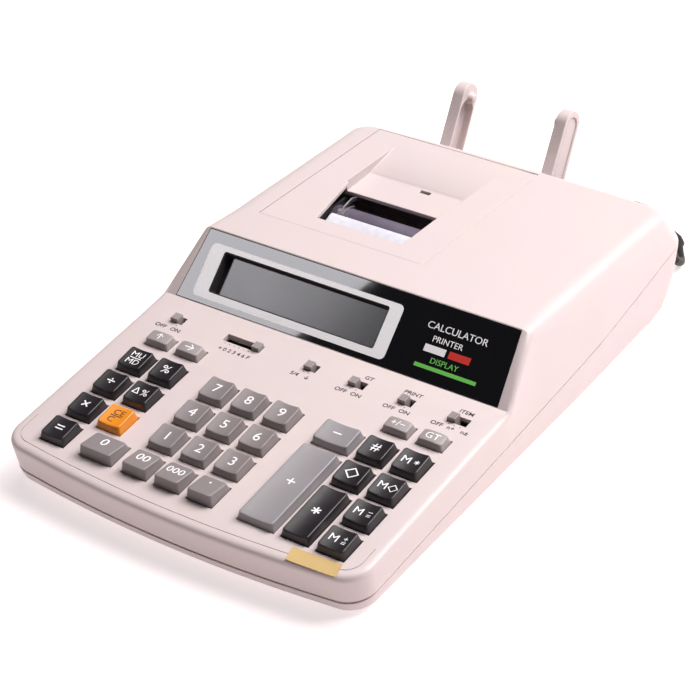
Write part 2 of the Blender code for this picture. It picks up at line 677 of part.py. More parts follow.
def add_coil():
    """The coil's outer shape as one ring, with the stretch that leaves its top for the plug."""
    inner = COIL_MEAN_DIAMETER / 2 - CORD_DIAMETER * COIL_TURNS_WIDE / 2
    outer = COIL_MEAN_DIAMETER / 2 + CORD_DIAMETER * COIL_TURNS_WIDE / 2
    height = CORD_DIAMETER * COIL_TURNS_HIGH
    profile = ((inner + 1, 0), (outer - 1, 0), (outer, 1), (outer, height - 1), (outer - 1, height),
               (inner + 1, height), (inner, height - 1), (inner, 1))
    sides, vertices = 40, []
    for k in range(sides):
        angle = 2 * math.pi * k / sides
        vertices += [(r * math.cos(angle), r * math.sin(angle), z) for r, z in profile]
    size = len(profile)
    faces = [[k * size + i, k * size + (i + 1) % size, (k + 1) % sides * size + (i + 1) % size,
              (k + 1) % sides * size + i] for k in range(sides) for i in range(size)]
    coil = add_object("cord_coil", mesh_from(vertices, faces), CORD_BLACK, (*COIL_CENTRE, 0.0))
    radius = CORD_DIAMETER / 2
    stretch = add_tube("tail_stretch", smooth_route(TAIL_ROUTE, CORD_DIAMETER), (radius, radius),
                       CORD_BLACK)
    mesh = bpy.data.meshes.new_from_object(stretch)
    bpy.data.objects.remove(stretch)
    boolean(coil, add_object("add_tail_stretch", mesh), "UNION")


def add_plug():
    """The two-pin plug that lies beside the coil, between the arms: its body, its pins ahead and its tail behind."""
    length, width, height = PLUG_SIZE
    half, middle = length / 2, height / 2
    body = [((-half, -width / 2, 0.0), (half, width / 2, height))]
    plug = add_boxes("plug", body, CORD_BLACK, edge=2.0)
    tail = rod_x("add_tail", (0, middle), [(-half - TAIL_LENGTH, 2.9), (-half + 1, 4.2)], sides=16)
    pieces = [plug, tail]
    for number, side in enumerate((-1, 1)):
        pieces.append(rod_x(f"add_pin_{number}", (side * PIN_SPACING / 2, middle),
                            [(half - 1, 2.0), (half + PIN_LENGTH, 2.0)], sides=12))
    for piece in pieces:
        piece.location = scaled((*PLUG_PLACE, 0.0))
        piece.rotation_euler = (0, 0, PLUG_HEADING)
    for piece in pieces[1:]:
        boolean(plug, piece, "UNION")


def add_cord():
    """The bend relief, the free stretch of the lead, its coil and its plug."""
    add_tube("bend_relief", smooth_route(RELIEF_ROUTE, 3.0), (4.4, 2.9), CORD_BLACK)
    radius = CORD_DIAMETER / 2
    add_tube("cord_lead", smooth_route(LEAD_ROUTE, CORD_DIAMETER), (radius, radius), CORD_BLACK)
    add_coil()
    add_plug()


def add_feet():
    for side, direction in (("left", -1), ("right", 1)):
        for end, x, y in (("front", 90.0, -22.0), ("rear", 93.0, 244.0)):
            sides, vertices = 24, []
            for radius, z in ((6.6, 0.0), (7.4, 1.2), (7.4, BASE_BOTTOM - GAP)):
                vertices += [(radius * math.cos(2 * math.pi * k / sides),
                              radius * math.sin(2 * math.pi * k / sides), z) for k in range(sides)]
            faces = [list(reversed(range(sides))), [2 * sides + k for k in range(sides)]]
            faces += [[r * sides + k, r * sides + (k + 1) % sides, (r + 1) * sides + (k + 1) % sides,
                       (r + 1) * sides + k] for r in range(2) for k in range(sides)]
            add_object(f"foot_{end}_{side}", mesh_from(vertices, faces), RUBBER,
                       (direction * x, y, 0.0))


# ---------------------------------------------------------------- build
clear_scene()
MACHINE = bpy.data.objects.new("machine", None)
bpy.context.collection.objects.link(MACHINE)
MACHINE.location = scaled((0, -FOOTPRINT_MIDDLE_Y, 0))

CASE = make_material("warm white plastic", (0.80, 0.74, 0.71), 0.45)
BLACK_KEY = make_material("black key", (0.035, 0.03, 0.035), 0.4)
DIGIT_KEY = make_material("warm grey key", (0.35, 0.31, 0.31), 0.4)
OPERATOR_KEY = make_material("cool grey key", (0.42, 0.41, 0.42), 0.4)
SMALL_KEY = make_material("light grey key", (0.55, 0.54, 0.53), 0.4)
ORANGE_KEY = make_material("orange key", (0.95, 0.42, 0.04), 0.4)
SWITCH_GREY = make_material("switch grey", (0.30, 0.29, 0.28), 0.45)
PANEL_BLACK = make_material("panel black", (0.01, 0.01, 0.012), 0.08)
SMOKED_GLASS = make_material("smoked glass", (0.06, 0.06, 0.07), 0.1)
BOARD_GREEN = make_material("board", (0.05, 0.18, 0.08), 0.5)
STEEL = make_material("steel", (0.55, 0.55, 0.56), 0.35, 1.0)
TYPE_METAL = make_material("type metal", (0.35, 0.33, 0.36), 0.4, 0.6)
RUBBER = make_material("rubber", (0.10, 0.09, 0.11), 0.6)
CUTTER_CLEAR = make_material("clear cutter", (0.75, 0.75, 0.78), 0.1)
LAMINATION = make_material("lamination", (0.18, 0.16, 0.15), 0.5, 0.5)
CORD_BLACK = make_material("cord black", (0.02, 0.018, 0.02), 0.5)

add_upper_case()
add_lower_case()
add_printer_cover()
add_display()
add_keys()
add_switches()
add_inner_pieces()
add_arm("paper_arm_left", PAPER_X - ARM_INNER_SPACING / 2, -1)
add_arm("paper_arm_right", PAPER_X + ARM_INNER_SPACING / 2, 1)
add_cord()
add_feet()
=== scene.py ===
"""Looks of a desktop printing calculator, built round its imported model.

Sizes in this file are millimetres in the machine's own frame: X to the right, Y to the rear from
the row of the 1-2-3 keys, Z up from the table. world() turns them into the frame's metres, with Y
from the middle of the footprint. "Deck" places (x, v, n) run along the sloping keyboard deck, n
straight out of it, and "slant" places (x, s, n) run up the display slope in the same way.
"""
import math

import bmesh
import bpy
from mathutils import Matrix, Vector

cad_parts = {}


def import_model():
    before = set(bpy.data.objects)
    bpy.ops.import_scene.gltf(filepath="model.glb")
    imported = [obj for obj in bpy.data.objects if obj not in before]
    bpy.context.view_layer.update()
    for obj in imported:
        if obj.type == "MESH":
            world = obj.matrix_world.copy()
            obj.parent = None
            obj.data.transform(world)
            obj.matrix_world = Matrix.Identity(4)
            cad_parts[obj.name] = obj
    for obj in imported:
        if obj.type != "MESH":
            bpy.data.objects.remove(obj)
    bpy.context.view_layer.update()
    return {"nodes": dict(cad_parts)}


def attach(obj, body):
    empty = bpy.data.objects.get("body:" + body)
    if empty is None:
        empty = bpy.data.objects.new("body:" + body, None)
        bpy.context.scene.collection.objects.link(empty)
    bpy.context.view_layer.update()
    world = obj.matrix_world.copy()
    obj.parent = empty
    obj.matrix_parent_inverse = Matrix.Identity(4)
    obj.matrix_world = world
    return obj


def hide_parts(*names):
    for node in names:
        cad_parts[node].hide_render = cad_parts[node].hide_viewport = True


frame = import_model()

MM = 0.001
FOOTPRINT_MIDDLE_Y = 141.991

# ---------------------------------------------------------------- driving dimensions
KEY_PITCH = 20.0
DECK_SLOPE = math.radians(5.0)
DECK_HEIGHT = 29.2
WALL = 2.5

FRONT_Y = -43.88
FRONT_BOW = 5.5
FRONT_CORNER = 15.0
DECK_HALF_WIDTH = 108.15
SEAM_HALF_WIDTH = 107.4
SEAM_FRONT_Y = -41.3
SEAM_REAR_Y = 276.5
SEAM_GAP = 0.3
BASE_BOTTOM = 3.0

PANEL_FOOT_Y = 94.8
PANEL_ANGLE = math.radians(42.0)
PANEL_SLANT = 40.8
HOOD_HALF_WIDTH = 100.6
HOOD_REAR_HALF_WIDTH = 99.4
HOOD_REAR_Y = 270.5
HOOD_FALL = math.radians(2.7)
REAR_CORNER = 12.0

KEY_BASE = (15.3, 15.2)
KEY_TAPER = 1.7
KEY_BELOW_DECK = 3.6
KEY_HOLE_GAP = 0.45
DIGIT_COLUMNS = (-29.5, -9.5, 10.5)
FUNCTION_COLUMNS = (-81.8, -61.9)
PLUS_COLUMN = 43.8
RIGHT_COLUMNS = (66.3, 86.3)
ROWS = (-KEY_PITCH, 0.0, KEY_PITCH, 2 * KEY_PITCH)

SLOT_ROW = (76.3, 81.8)
# name, slot's left end, slot's right end, knob's place at rest (0 left, 1 right)
SWITCHES = (("power", -88.7, -81.1, 0), ("decimal", -54.3, -30.8, 1), ("rounding", -3.3, 4.2, 0),
            ("grand_total_mode", 23.8, 33.3, 0), ("print_mode", 53.5, 61.8, 0),
            ("item_count", 82.5, 93.7, 0))
KNOB_WIDTH = 4.8

PANEL_RECESS = 1.9
PANEL_SLANTS = (0.2, 40.2)
DISPLAY_X = (-81.6, 23.0)
DISPLAY_SLANTS = (7.6, 30.4)
FRAME_X = (-90.8, 31.0)
FRAME_SLANTS = (3.5, 33.4)

PAPER_X = -28.0
COVER_X = (-84.0, 20.6)
COVER_Y = (150.5, 264.5)
WINDOW_X = (-56.0, 0.0)
WINDOW_Y = (162.5, 204.0)
SHELF_Z = 54.6
RAMP_Y = (226.0, 251.0)

ARM_THICKNESS = 7.0
ARM_WIDTH = 18.0
ARM_INNER_SPACING = 61.0
ARM_PIVOT = (284.0, 16.0)
ARM_TIP = (319.0, 58.5)
ARM_KNEE = (300.5, 28.5)

PLATEN_CENTRE = (190.5, 42.5)
PLATEN_RADIUS = 9.5
TYPE_SHAFT_CENTRE = (169.0, 38.0)
PRINTER_X = (-66.0, 12.0)

CORD_DIAMETER = 4.8
CORD_SKIN = 0.02
CORD_EXIT = (88.5, 274.4, 26.5)
RELIEF_ROUTE = ((88.5, 274.4, 26.5), (88.5, 279.0, 25.4), (88.9, 284.0, 21.9), (89.4, 288.0, 16.9),
                (89.8, 291.2, 11.6))
LEAD_ROUTE = ((90.0, 292.2, 10.2), (90.2, 296.0, 6.4), (89.2, 300.8, 3.6), (86.6, 305.4, 2.5),
              (83.2, 310.4, 2.4), (79.8, 316.0, 2.4), (76.0, 322.2, 2.4))
TAIL_ROUTE = ((25.3, 332.4, 7.1), (18.5, 330.6, 6.2), (11.6, 328.8, 5.4), (4.2, 325.9, 6.2),
              (-3.8, 321.1, 6.8))
COIL_CENTRE = (42.4, 301.8)
COIL_MEAN_DIAMETER = 52.8
COIL_TURNS_WIDE = 4
COIL_TURNS_HIGH = 2
PLUG_SIZE = (33.0, 16.0, 13.6)
PLUG_PLACE = (-28.2, 305.8)
PLUG_HEADING = math.radians(212.0)
PIN_LENGTH = 19.0
PIN_SPACING = 9.6
TAIL_LENGTH = 11.5


# ---------------------------------------------------------------- places
def world(point):
    return Vector((point[0], point[1] - FOOTPRINT_MIDDLE_Y, point[2])) * MM


def deck(x, v, n):
    sine, cosine = math.sin(DECK_SLOPE), math.cos(DECK_SLOPE)
    return (x, v * cosine - n * sine, v * sine + n * cosine + DECK_HEIGHT)


def deck_z(y):
    return DECK_HEIGHT + y * math.tan(DECK_SLOPE)


def slope(x, s, n):
    """A place on the display slope: s up it from its foot, n straight out of it."""
    sine, cosine = math.sin(PANEL_ANGLE), math.cos(PANEL_ANGLE)
    return (x, PANEL_FOOT_Y + s * cosine - n * sine, deck_z(PANEL_FOOT_Y) + s * sine + n * cosine)


PANEL_TOP_Y = PANEL_FOOT_Y + PANEL_SLANT * math.cos(PANEL_ANGLE)
PANEL_TOP_Z = deck_z(PANEL_FOOT_Y) + PANEL_SLANT * math.sin(PANEL_ANGLE)


def top_z(y):
    """Height of the case's upper surface: deck, display slope, then the hood that falls rearward."""
    if y <= PANEL_FOOT_Y:
        return deck_z(y)
    if y <= PANEL_TOP_Y:
        return deck_z(PANEL_FOOT_Y) + (y - PANEL_FOOT_Y) * math.tan(PANEL_ANGLE)
    return PANEL_TOP_Z - (y - PANEL_TOP_Y) * math.tan(HOOD_FALL)


def seam_z(y):
    return 12.6 + 0.075 * y + 0.0005 * max(0.0, y - 150.0) ** 2


def between(value, stops):
    """Straight-line value through (position, value) stops."""
    if value <= stops[0][0]:
        return stops[0][1]
    for (a, p), (b, q) in zip(stops, stops[1:]):
        if value <= b:
            return p + (q - p) * (value - a) / (b - a)
    return stops[-1][1]


def spread(low, high, count):
    """Count + 1 even values from low to high."""
    return [low + (high - low) * k / count for k in range(count + 1)]


def arc(centre, radius, start, end, count):
    """Points round a centre from a start to an end angle, in degrees."""
    return [(centre[0] + radius * math.cos(a), centre[1] + radius * math.sin(a))
            for a in (math.radians(d) for d in spread(start, end, count))]


# ---------------------------------------------------------------- the camera, floor and lights
CAMERA_PLACE = (0.5933, -0.803691, 0.7006)
CAMERA_RIGHT = (0.81694, 0.57348, -0.06107)
CAMERA_DOWN = (0.28619, -0.49504, -0.82039)
CAMERA_LENS = 118.91


def add_camera():
    right = Vector(CAMERA_RIGHT)
    up = -Vector(CAMERA_DOWN)
    back = right.cross(up)
    data = bpy.data.cameras.new("camera")
    data.lens = CAMERA_LENS
    data.sensor_width = 36.0
    camera = bpy.data.objects.new("camera", data)
    rows = [(right[i], up[i], back[i], CAMERA_PLACE[i]) for i in range(3)]
    camera.matrix_world = Matrix((*rows, (0.0, 0.0, 0.0, 1.0)))
    bpy.context.collection.objects.link(camera)
    bpy.context.scene.camera = camera


def add_light(name, place, aim, size, power, colour=(1.0, 1.0, 1.0), roll=0.0):
    data = bpy.data.lights.new(name, "AREA")
    data.shape = "RECTANGLE"
    data.size, data.size_y = size
    data.energy = power
    data.color = colour
    light = bpy.data.objects.new(name, data)
    direction = Vector(aim) - Vector(place)
    turn = direction.to_track_quat("-Z", "Y").to_matrix() @ Matrix.Rotation(math.radians(roll), 3, "Z")
    light.matrix_world = Matrix.Translation(place) @ turn.to_4x4()
    bpy.context.collection.objects.link(light)


PANEL_REFLECTION = (-0.526, -0.472, 0.707)
CARD_DISTANCE = 2.0
CARD_SIZE = (0.36, 0.30)
CARD_SHIFT = (0.128, -0.02)
CARD_LEAN = 3.0


def add_reflected_card():
    """The bright window that the glossy display panel mirrors in its left half."""
    middle = world(slope(-31.0, 20.0, 0.0))
    outward = Vector(PANEL_REFLECTION).normalized()
    side = Vector((0, 0, 1)).cross(-outward).normalized()
    upward = (-outward).cross(side)
    place = middle + outward * CARD_DISTANCE + side * CARD_SHIFT[0] + upward * CARD_SHIFT[1]
    add_light("card", place, place - outward, CARD_SIZE, 1.75, (0.97, 0.95, 1.0), CARD_LEAN)


def add_studio():
    """A white floor, a large soft light high on the right and rear, and the card for the panel."""
    scene = bpy.context.scene
    scene.view_settings.view_transform = "Standard"
    sky = bpy.data.worlds.new("studio")
    sky.use_nodes = True
    shade = sky.node_tree.nodes["Background"]
    shade.inputs["Color"].default_value = (1.0, 0.97, 0.98, 1.0)
    shade.inputs["Strength"].default_value = 0.05
    scene.world = sky
    add_light("key_light", (0.95, 0.95, 1.70), (0.0, 0.0, 0.0), (1.3, 1.3), 66.0, (1.0, 0.975, 0.97))
    add_light("top_light", (-0.15, 0.85, 1.9), (0.0, 0.0, 0.0), (1.2, 1.2), 22.0, (1.0, 0.965, 0.97))
    add_reflected_card()
    add_floor()


def add_floor():
    """A wide white floor that is lit past white, a little warm in what it throws back."""
    mesh = bpy.data.meshes.new("floor")
    reach = 6.0
    mesh.from_pydata([(-reach, -reach, 0), (reach, -reach, 0), (reach, reach, 0), (-reach, reach, 0)],
                     [], [(0, 1, 2, 3)])
    floor = bpy.data.objects.new("floor", mesh)
    bpy.context.collection.objects.link(floor)
    paper = bpy.data.materials.new("floor paper")
    paper.use_nodes = True
    shader = paper.node_tree.nodes["Principled BSDF"]
    shader.inputs["Base Color"].default_value = (0.66, 0.60, 0.60, 1.0)
    shader.inputs["Roughness"].default_value = 0.9
    shader.inputs["Specular IOR Level"].default_value = 0.1
    shader.inputs["Emission Color"].default_value = (1.0, 0.93, 0.94, 1.0)
    shader.inputs["Emission Strength"].default_value = 0.62
    mesh.materials.append(paper)


# ---------------------------------------------------------------- shader sums
class Wire:
    """A shader socket that takes part in sums: numbers by Math, colours and vectors by Vector Math."""

    def __init__(self, tree, socket):
        self.tree = tree
        self.socket = socket

    def combine(self, operation, first, second):
        flat = self.socket.type == "VALUE"
        node = self.tree.nodes.new("ShaderNodeMath" if flat else "ShaderNodeVectorMath")
        node.operation = operation
        for socket, value in zip(node.inputs, (first, second)):
            connect(self.tree, socket, value)
        return Wire(self.tree, node.outputs[0])

    def __add__(self, other):
        return self.combine("ADD", self, other)

    def __radd__(self, other):
        return self.combine("ADD", other, self)

    def __sub__(self, other):
        return self.combine("SUBTRACT", self, other)

    def __rsub__(self, other):
        return self.combine("SUBTRACT", other, self)

    def __mul__(self, other):
        return self.combine("MULTIPLY", self, other)

    def __rmul__(self, other):
        return self.combine("MULTIPLY", other, self)


def connect(tree, socket, value):
    """Give a socket a link or a plain value; a number given to a vector or colour fills it."""
    if isinstance(value, Wire):
        tree.links.new(value.socket, socket)
    elif socket.type == "RGBA":
        socket.default_value = (*value, 1.0)[:4]
    elif socket.type == "VECTOR" and not hasattr(value, "__len__"):
        socket.default_value = (value, value, value)
    else:
        socket.default_value = value


class Finish:
    """One material: its Principled shader's constants, and the nodes that vary over the surface."""

    def __init__(self, name, **constants):
        self.material = bpy.data.materials.new(name)
        self.material.use_nodes = True
        self.tree = self.material.node_tree
        self.shader = self.tree.nodes["Principled BSDF"]
        for label, value in constants.items():
            self.set(label.replace("_", " "), value)

    def set(self, label, value):
        names = {"coat": "Coat Weight", "colour": "Base Color", "ior": "IOR",
                 "specular": "Specular IOR Level", "transmission": "Transmission Weight"}
        connect(self.tree, self.shader.inputs[names.get(label, label.title())], value)

    def node(self, kind, settings=None, inputs=None, output=0):
        node = self.tree.nodes.new("ShaderNode" + kind)
        for key, value in (settings or {}).items():
            setattr(node, key, value)
        for key, value in (inputs or {}).items():
            connect(self.tree, node.inputs[key], value)
        return Wire(self.tree, node.outputs[output])

    def place(self):
        return self.node("TexCoord", output=3)

    def noise(self, grain, detail=2.0, roughness=0.5, at=None):
        """Fractal noise from 0 to 1 whose features are about grain millimetres across."""
        return self.node("TexNoise", {}, {"Vector": at or self.place(), "Scale": 1.0 / (grain * MM),
                                          "Detail": detail, "Roughness": roughness})

    def mask(self, value, low, high):
        """0 below low and 1 above high, straight between."""
        return self.node("MapRange", {}, {"Value": value, "From Min": low, "From Max": high})

    def mix(self, share, first, second):
        mixer = self.tree.nodes.new("ShaderNodeMix")
        mixer.data_type = "RGBA"
        for socket, value in zip((mixer.inputs[0], mixer.inputs[6], mixer.inputs[7]),
                                 (share, first, second)):
            connect(self.tree, socket, value)
        return Wire(self.tree, mixer.outputs[2])

    def relief(self, height, depth, strength=1.0):
        """Bump of a 0 to 1 height that is depth millimetres deep."""
        normal = self.node("Bump", {}, {"Height": height, "Distance": depth * MM, "Strength": strength})
        self.set("Normal", normal)


def tinted(colour, factor):
    return tuple(min(1.0, c * factor) for c in colour)


# ---------------------------------------------------------------- finishes
def moulded(name, colour, aged, gloss, grain=0.35, depth=0.02, mottle=0.05):
    """Moulded plastic: a spark-eroded grain, faint cloudiness, ageing in patches and handling marks."""
    finish = Finish(name)
    clouds = finish.noise(38.0, 3.0)
    specks = finish.noise(1.3, 2.0, 0.6)
    shade = finish.mix(finish.mask(clouds, 0.38, 0.72), colour, aged)
    dirt = finish.mask(specks, 0.62, 0.82) * mottle
    finish.set("colour", finish.mix(dirt, shade, tinted(colour, 0.55)))
    rubbed = finish.mask(finish.noise(9.0, 4.0), 0.35, 0.75)
    finish.set("roughness", gloss - 0.04 + rubbed * 0.1)
    fine = finish.noise(grain, 2.0, 0.55)
    finish.relief(fine + finish.noise(grain * 4.0) * 0.6, depth)
    return finish.material


def key_plastic(name, colour, aged, gloss=0.38, mottle=0.05):
    """The keys' plastic: the case's grain, finer and shallower."""
    return moulded(name, colour, aged, gloss, 0.25, 0.015, mottle)


def printed(name, colour):
    """Pad-printed ink: an even colour that thins a little in places."""
    finish = Finish(name)
    worn = finish.mask(finish.noise(0.8, 3.0), 0.55, 0.9) * 0.3
    finish.set("colour", finish.mix(worn, colour, tinted(colour, 0.7)))
    finish.set("roughness", 0.4 + finish.noise(2.0) * 0.1)
    finish.relief(finish.noise(0.3), 0.01)
    return finish.material


def panel_black():
    """Back-printed acrylic: deep black under a polished face with dust and hairline wipe marks."""
    finish = Finish("panel black", coat=1.0, coat_roughness=0.02, specular=0.6)
    dust = finish.mask(finish.noise(0.7, 3.0), 0.72, 0.86) * 0.05
    finish.set("colour", finish.mix(dust, (0.0022, 0.002, 0.0035), (0.35, 0.34, 0.36)))
    finish.set("roughness", 0.03 + finish.mask(finish.noise(14.0, 3.0), 0.45, 0.8) * 0.03)
    finish.relief(finish.noise(60.0, 1.0), 0.05, 0.25)
    return finish.material


def smoked_glass():
    """The tinted filter over the display: satin grey, lighter in soft random patches, a haze with a painted
    sheen for where the light catches it.
    """
    finish = Finish("smoked glass", specular=0.7, coat=0.5, coat_roughness=0.12)
    haze_and_sheen = finish.mask(finish.noise(46.0, 1.0), 0.3, 0.75)
    # painted sheen: the base colour turns lighter in the noise patches, standing in for light caught by a
    # faint haze
    finish.set("colour", finish.mix(haze_and_sheen, (0.014, 0.012, 0.016), (0.024, 0.021, 0.027)))
    finish.set("roughness", 0.17 + finish.noise(20.0) * 0.05)
    finish.relief(finish.noise(0.25), 0.004)
    return finish.material


def clear_cutter_painted_highlight():
    """Clear plastic of the tear bar, painted pale all over as a painted highlight for its bright ribs,
    mottled at random.
    """
    finish = Finish("cutter clear", specular=0.8, coat=0.8)
    # painted highlight: the clear plastic is given an opaque pale grey colour for the light that it catches
    finish.set("colour", finish.mix(finish.noise(3.0), (0.62, 0.60, 0.68), (0.9, 0.89, 0.94)))
    finish.set("roughness", 0.12 + finish.noise(1.0) * 0.1)
    finish.relief(finish.noise(0.4), 0.01)
    return finish.material


def brushed(name, colour, gloss):
    """Rolled or brushed metal: streaks along X, with a few stains."""
    finish = Finish(name)
    streaks = finish.noise(0.5, 3.0, 0.6, finish.place() * (0.02, 1.0, 1.0))
    stains = finish.mask(finish.noise(7.0, 4.0), 0.5, 0.8)
    finish.set("metallic", 1.0 - stains * 0.25)
    finish.set("colour", finish.mix(streaks, tinted(colour, 0.75), tinted(colour, 1.15)))
    finish.set("roughness", gloss + streaks * 0.15 + stains * 0.1)
    finish.relief(streaks, 0.01)
    return finish.material


def circuit_board():
    """Green solder mask over copper tracks on a regular grid."""
    finish = Finish("board", specular=0.5)
    tracks = finish.node("TexBrick", {"offset": 0.5},
                         {"Vector": finish.place(), "Scale": 120.0, "Mortar Size": 0.012}, 1)
    finish.set("colour", finish.mix(tracks, (0.015, 0.11, 0.04), (0.05, 0.22, 0.09)))
    finish.set("roughness", 0.3 + finish.noise(4.0) * 0.15)
    finish.relief(tracks, 0.05)
    return finish.material


def lamination():
    """Transformer core: thin steel sheets stacked along X under brown varnish."""
    finish = Finish("lamination", metallic=0.4)
    sheets = finish.node("TexWave", {"bands_direction": "X"},
                         {"Vector": finish.place(), "Scale": 320.0, "Distortion": 0.2}, 1)
    finish.set("colour", finish.mix(sheets, (0.05, 0.035, 0.025), (0.16, 0.12, 0.1)))
    finish.set("roughness", 0.4 + finish.noise(5.0) * 0.2)
    finish.relief(sheets, 0.15)
    return finish.material


def rubber(name, colour, gloss, grain=0.5):
    """Matt rubber with a fine pitted skin and a pale bloom in places."""
    finish = Finish(name, specular=0.3)
    bloom = finish.mask(finish.noise(11.0, 4.0), 0.45, 0.85)
    finish.set("colour", finish.mix(bloom * 0.35, colour, tuple(min(1.0, c * 1.8 + 0.01) for c in colour)))
    finish.set("roughness", gloss + bloom * 0.12)
    finish.relief(finish.noise(grain, 3.0), 0.03)
    return finish.material


def label_paper():
    """A yellow paper sticker: fibres, a faint crease and a little grime."""
    finish = Finish("label paper", specular=0.2)
    fibres = finish.noise(0.6, 4.0, 0.7, finish.place() * (1.0, 0.35, 1.0))
    grime = finish.mask(finish.noise(12.0, 4.0), 0.5, 0.85) * 0.35
    yellow = finish.mix(fibres, (0.54, 0.37, 0.15), (0.63, 0.45, 0.21))
    finish.set("colour", finish.mix(grime, yellow, (0.42, 0.29, 0.12)))
    finish.set("roughness", 0.62 + fibres * 0.15)
    finish.relief(fibres, 0.04)
    return finish.material


CASE_COLOUR = (0.62, 0.53, 0.53)


def make_finishes():
    """Every material of the machine, by the name used in this file."""
    return {
        "case": moulded("case plastic", CASE_COLOUR, (0.63, 0.54, 0.52), 0.43),
        "black_key": key_plastic("black key", (0.014, 0.011, 0.014), (0.020, 0.016, 0.019), 0.34, 0.02),
        "grey_key": key_plastic("warm grey key", (0.235, 0.205, 0.21), (0.25, 0.215, 0.215)),
        "operator_key": key_plastic("cool grey key", (0.285, 0.265, 0.28), (0.30, 0.28, 0.29)),
        "light_key": key_plastic("light grey key", (0.33, 0.29, 0.29), (0.34, 0.30, 0.295)),
        "orange_key": key_plastic("orange key", (0.80, 0.26, 0.014), (0.82, 0.29, 0.02), 0.36),
        "switch": moulded("switch grey", (0.26, 0.225, 0.22), (0.28, 0.24, 0.23), 0.4, 0.25, 0.02),
        "dark": moulded("inner black", (0.012, 0.010, 0.012), (0.018, 0.015, 0.017), 0.6, 0.4, 0.03),
        "white_ink": printed("white ink", (0.93, 0.91, 0.93)),
        "frame_white": moulded("frame white", (0.96, 0.95, 0.96), (0.97, 0.96, 0.97), 0.3, 0.3, 0.006, 0.0),
        "dark_ink": printed("dark ink", (0.035, 0.025, 0.03)),
        "red_ink": printed("red ink", (0.62, 0.03, 0.02)),
        "green_ink": printed("green ink", (0.16, 0.60, 0.10)),
        "panel": panel_black(),
        "glass": smoked_glass(),
        "clear": clear_cutter_painted_highlight(),
        "steel": brushed("steel", (0.60, 0.59, 0.62), 0.28),
        "type_metal": brushed("type metal", (0.36, 0.34, 0.40), 0.38),
        "board": circuit_board(),
        "lamination": lamination(),
        "rubber": rubber("foot rubber", (0.03, 0.028, 0.03), 0.75),
        "platen": rubber("platen rubber", (0.12, 0.10, 0.14), 0.42, 0.9),
        "cord": rubber("cord rubber", (0.018, 0.016, 0.018), 0.5),
        "label": label_paper(),
    }


# ---------------------------------------------------------------- piece making
SHARP_ANGLE = 34.0


def mesh_of(vertices, faces, inks=None):
    """A mesh in the frame from a body: machine places, faces and each face's material number."""
    mesh = bpy.data.meshes.new("mesh")
    mesh.from_pydata([world(v) for v in vertices], [], faces)
    if inks:
        mesh.polygons.foreach_set("material_index", inks)
    bm = bmesh.new()
    bm.from_mesh(mesh)
    bmesh.ops.recalc_face_normals(bm, faces=bm.faces)
    bm.to_mesh(mesh)
    bm.free()
    return mesh


def shade_smooth(piece, sharp=SHARP_ANGLE):
    piece.data.shade_smooth()
    piece.data.set_sharp_from_angle(angle=math.radians(sharp))


def add_piece(name, shape, finishes, body="case", stands_for=(), sharp=SHARP_ANGLE):
    """A visible piece: its finishes, the body that it rides on and the nodes that it stands for."""
    piece = bpy.data.objects.new(name, mesh_of(*shape))
    bpy.context.collection.objects.link(piece)
    for finish in finishes:
        piece.data.materials.append(FINISHES[finish])
    shade_smooth(piece, sharp)
    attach(piece, body)
    if stands_for:
        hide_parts(*stands_for)
    return piece


def soften(piece, width, segments=2, angle=40.0, clamp=False):
    """Small rounded edges, as a mould gives them."""
    edges = piece.modifiers.new("edges", "BEVEL")
    edges.width = width * MM
    edges.segments = segments
    edges.angle_limit = math.radians(angle)
    edges.use_clamp_overlap = clamp
    edges.harden_normals = True
    return piece


def cut(piece, shape, operation="DIFFERENCE"):
    """Cut, join or keep a piece by a closed shape, at once, and leave no modifier behind."""
    tool = bpy.data.objects.new("tool", mesh_of(*shape))
    bpy.context.collection.objects.link(tool)
    modifier = piece.modifiers.new("cut", "BOOLEAN")
    modifier.operation = operation
    modifier.solver = "EXACT"
    modifier.object = tool
    graph = bpy.context.evaluated_depsgraph_get()
    shaped = bpy.data.meshes.new_from_object(piece.evaluated_get(graph))
    piece.modifiers.remove(modifier)
    old = piece.data
    piece.data = shaped
    bpy.data.meshes.remove(old)
    bpy.data.objects.remove(tool)


def boxes(parts, place=lambda x, y, z: (x, y, z)):
    """Separate boxes, each a (low, high) pair of corners, put in place by a function."""
    vertices, faces = [], []
    for low, high in parts:
        start = len(vertices)
        vertices += [place(x, y, z) for z in (low[2], high[2]) for y in (low[1], high[1])
                     for x in (low[0], high[0])]
        faces += [[start + i for i in face] for face in
                  ((0, 2, 3, 1), (4, 5, 7, 6), (0, 1, 5, 4), (2, 6, 7, 3), (0, 4, 6, 2), (1, 3, 7, 5))]
    return vertices, faces


def bands(rings, ends=True):
    """Faces through rings of vertex numbers, laid one after another; ends closes the first and last."""
    count = len(rings[0])
    faces = [[low[k], low[(k + 1) % count], high[(k + 1) % count], high[k]]
             for low, high in zip(rings, rings[1:]) for k in range(count)]
    return faces + ([list(rings[0]), list(rings[-1])] if ends else [])


def skin(rings, closed_up=False):
    """A solid through rings of places, or a closed-up band whose last ring meets its first."""
    count = len(rings[0])
    vertices = [p for ring in rings for p in ring]
    numbers = [range(r * count, (r + 1) * count) for r in range(len(rings))]
    return vertices, bands(numbers + [numbers[0]] if closed_up else numbers, not closed_up)


def plate(outline, low, high, place):
    """A flat plate: its (a, b) outline pushed from low to high along the third way of a place."""
    return skin([[place(a, b, n) for a, b in outline] for n in (low, high)])


def across(a, b, n):
    """Place for a plate that stands along X: outline in Y and Z, pushed along X."""
    return (n, a, b)


def upright(a, b, n):
    """Place for a plate that lies flat: outline in X and Y, pushed along Z."""
    return (a, b, n)


def turned(profile, centre, sides=48):
    """A piece turned about an axis along X: profile is (x, radius) pairs, end to end."""
    y, z = centre
    return skin([[(x, y + r * math.cos(a), z + r * math.sin(a))
                  for a in (2 * math.pi * k / sides for k in range(sides))] for x, r in profile])


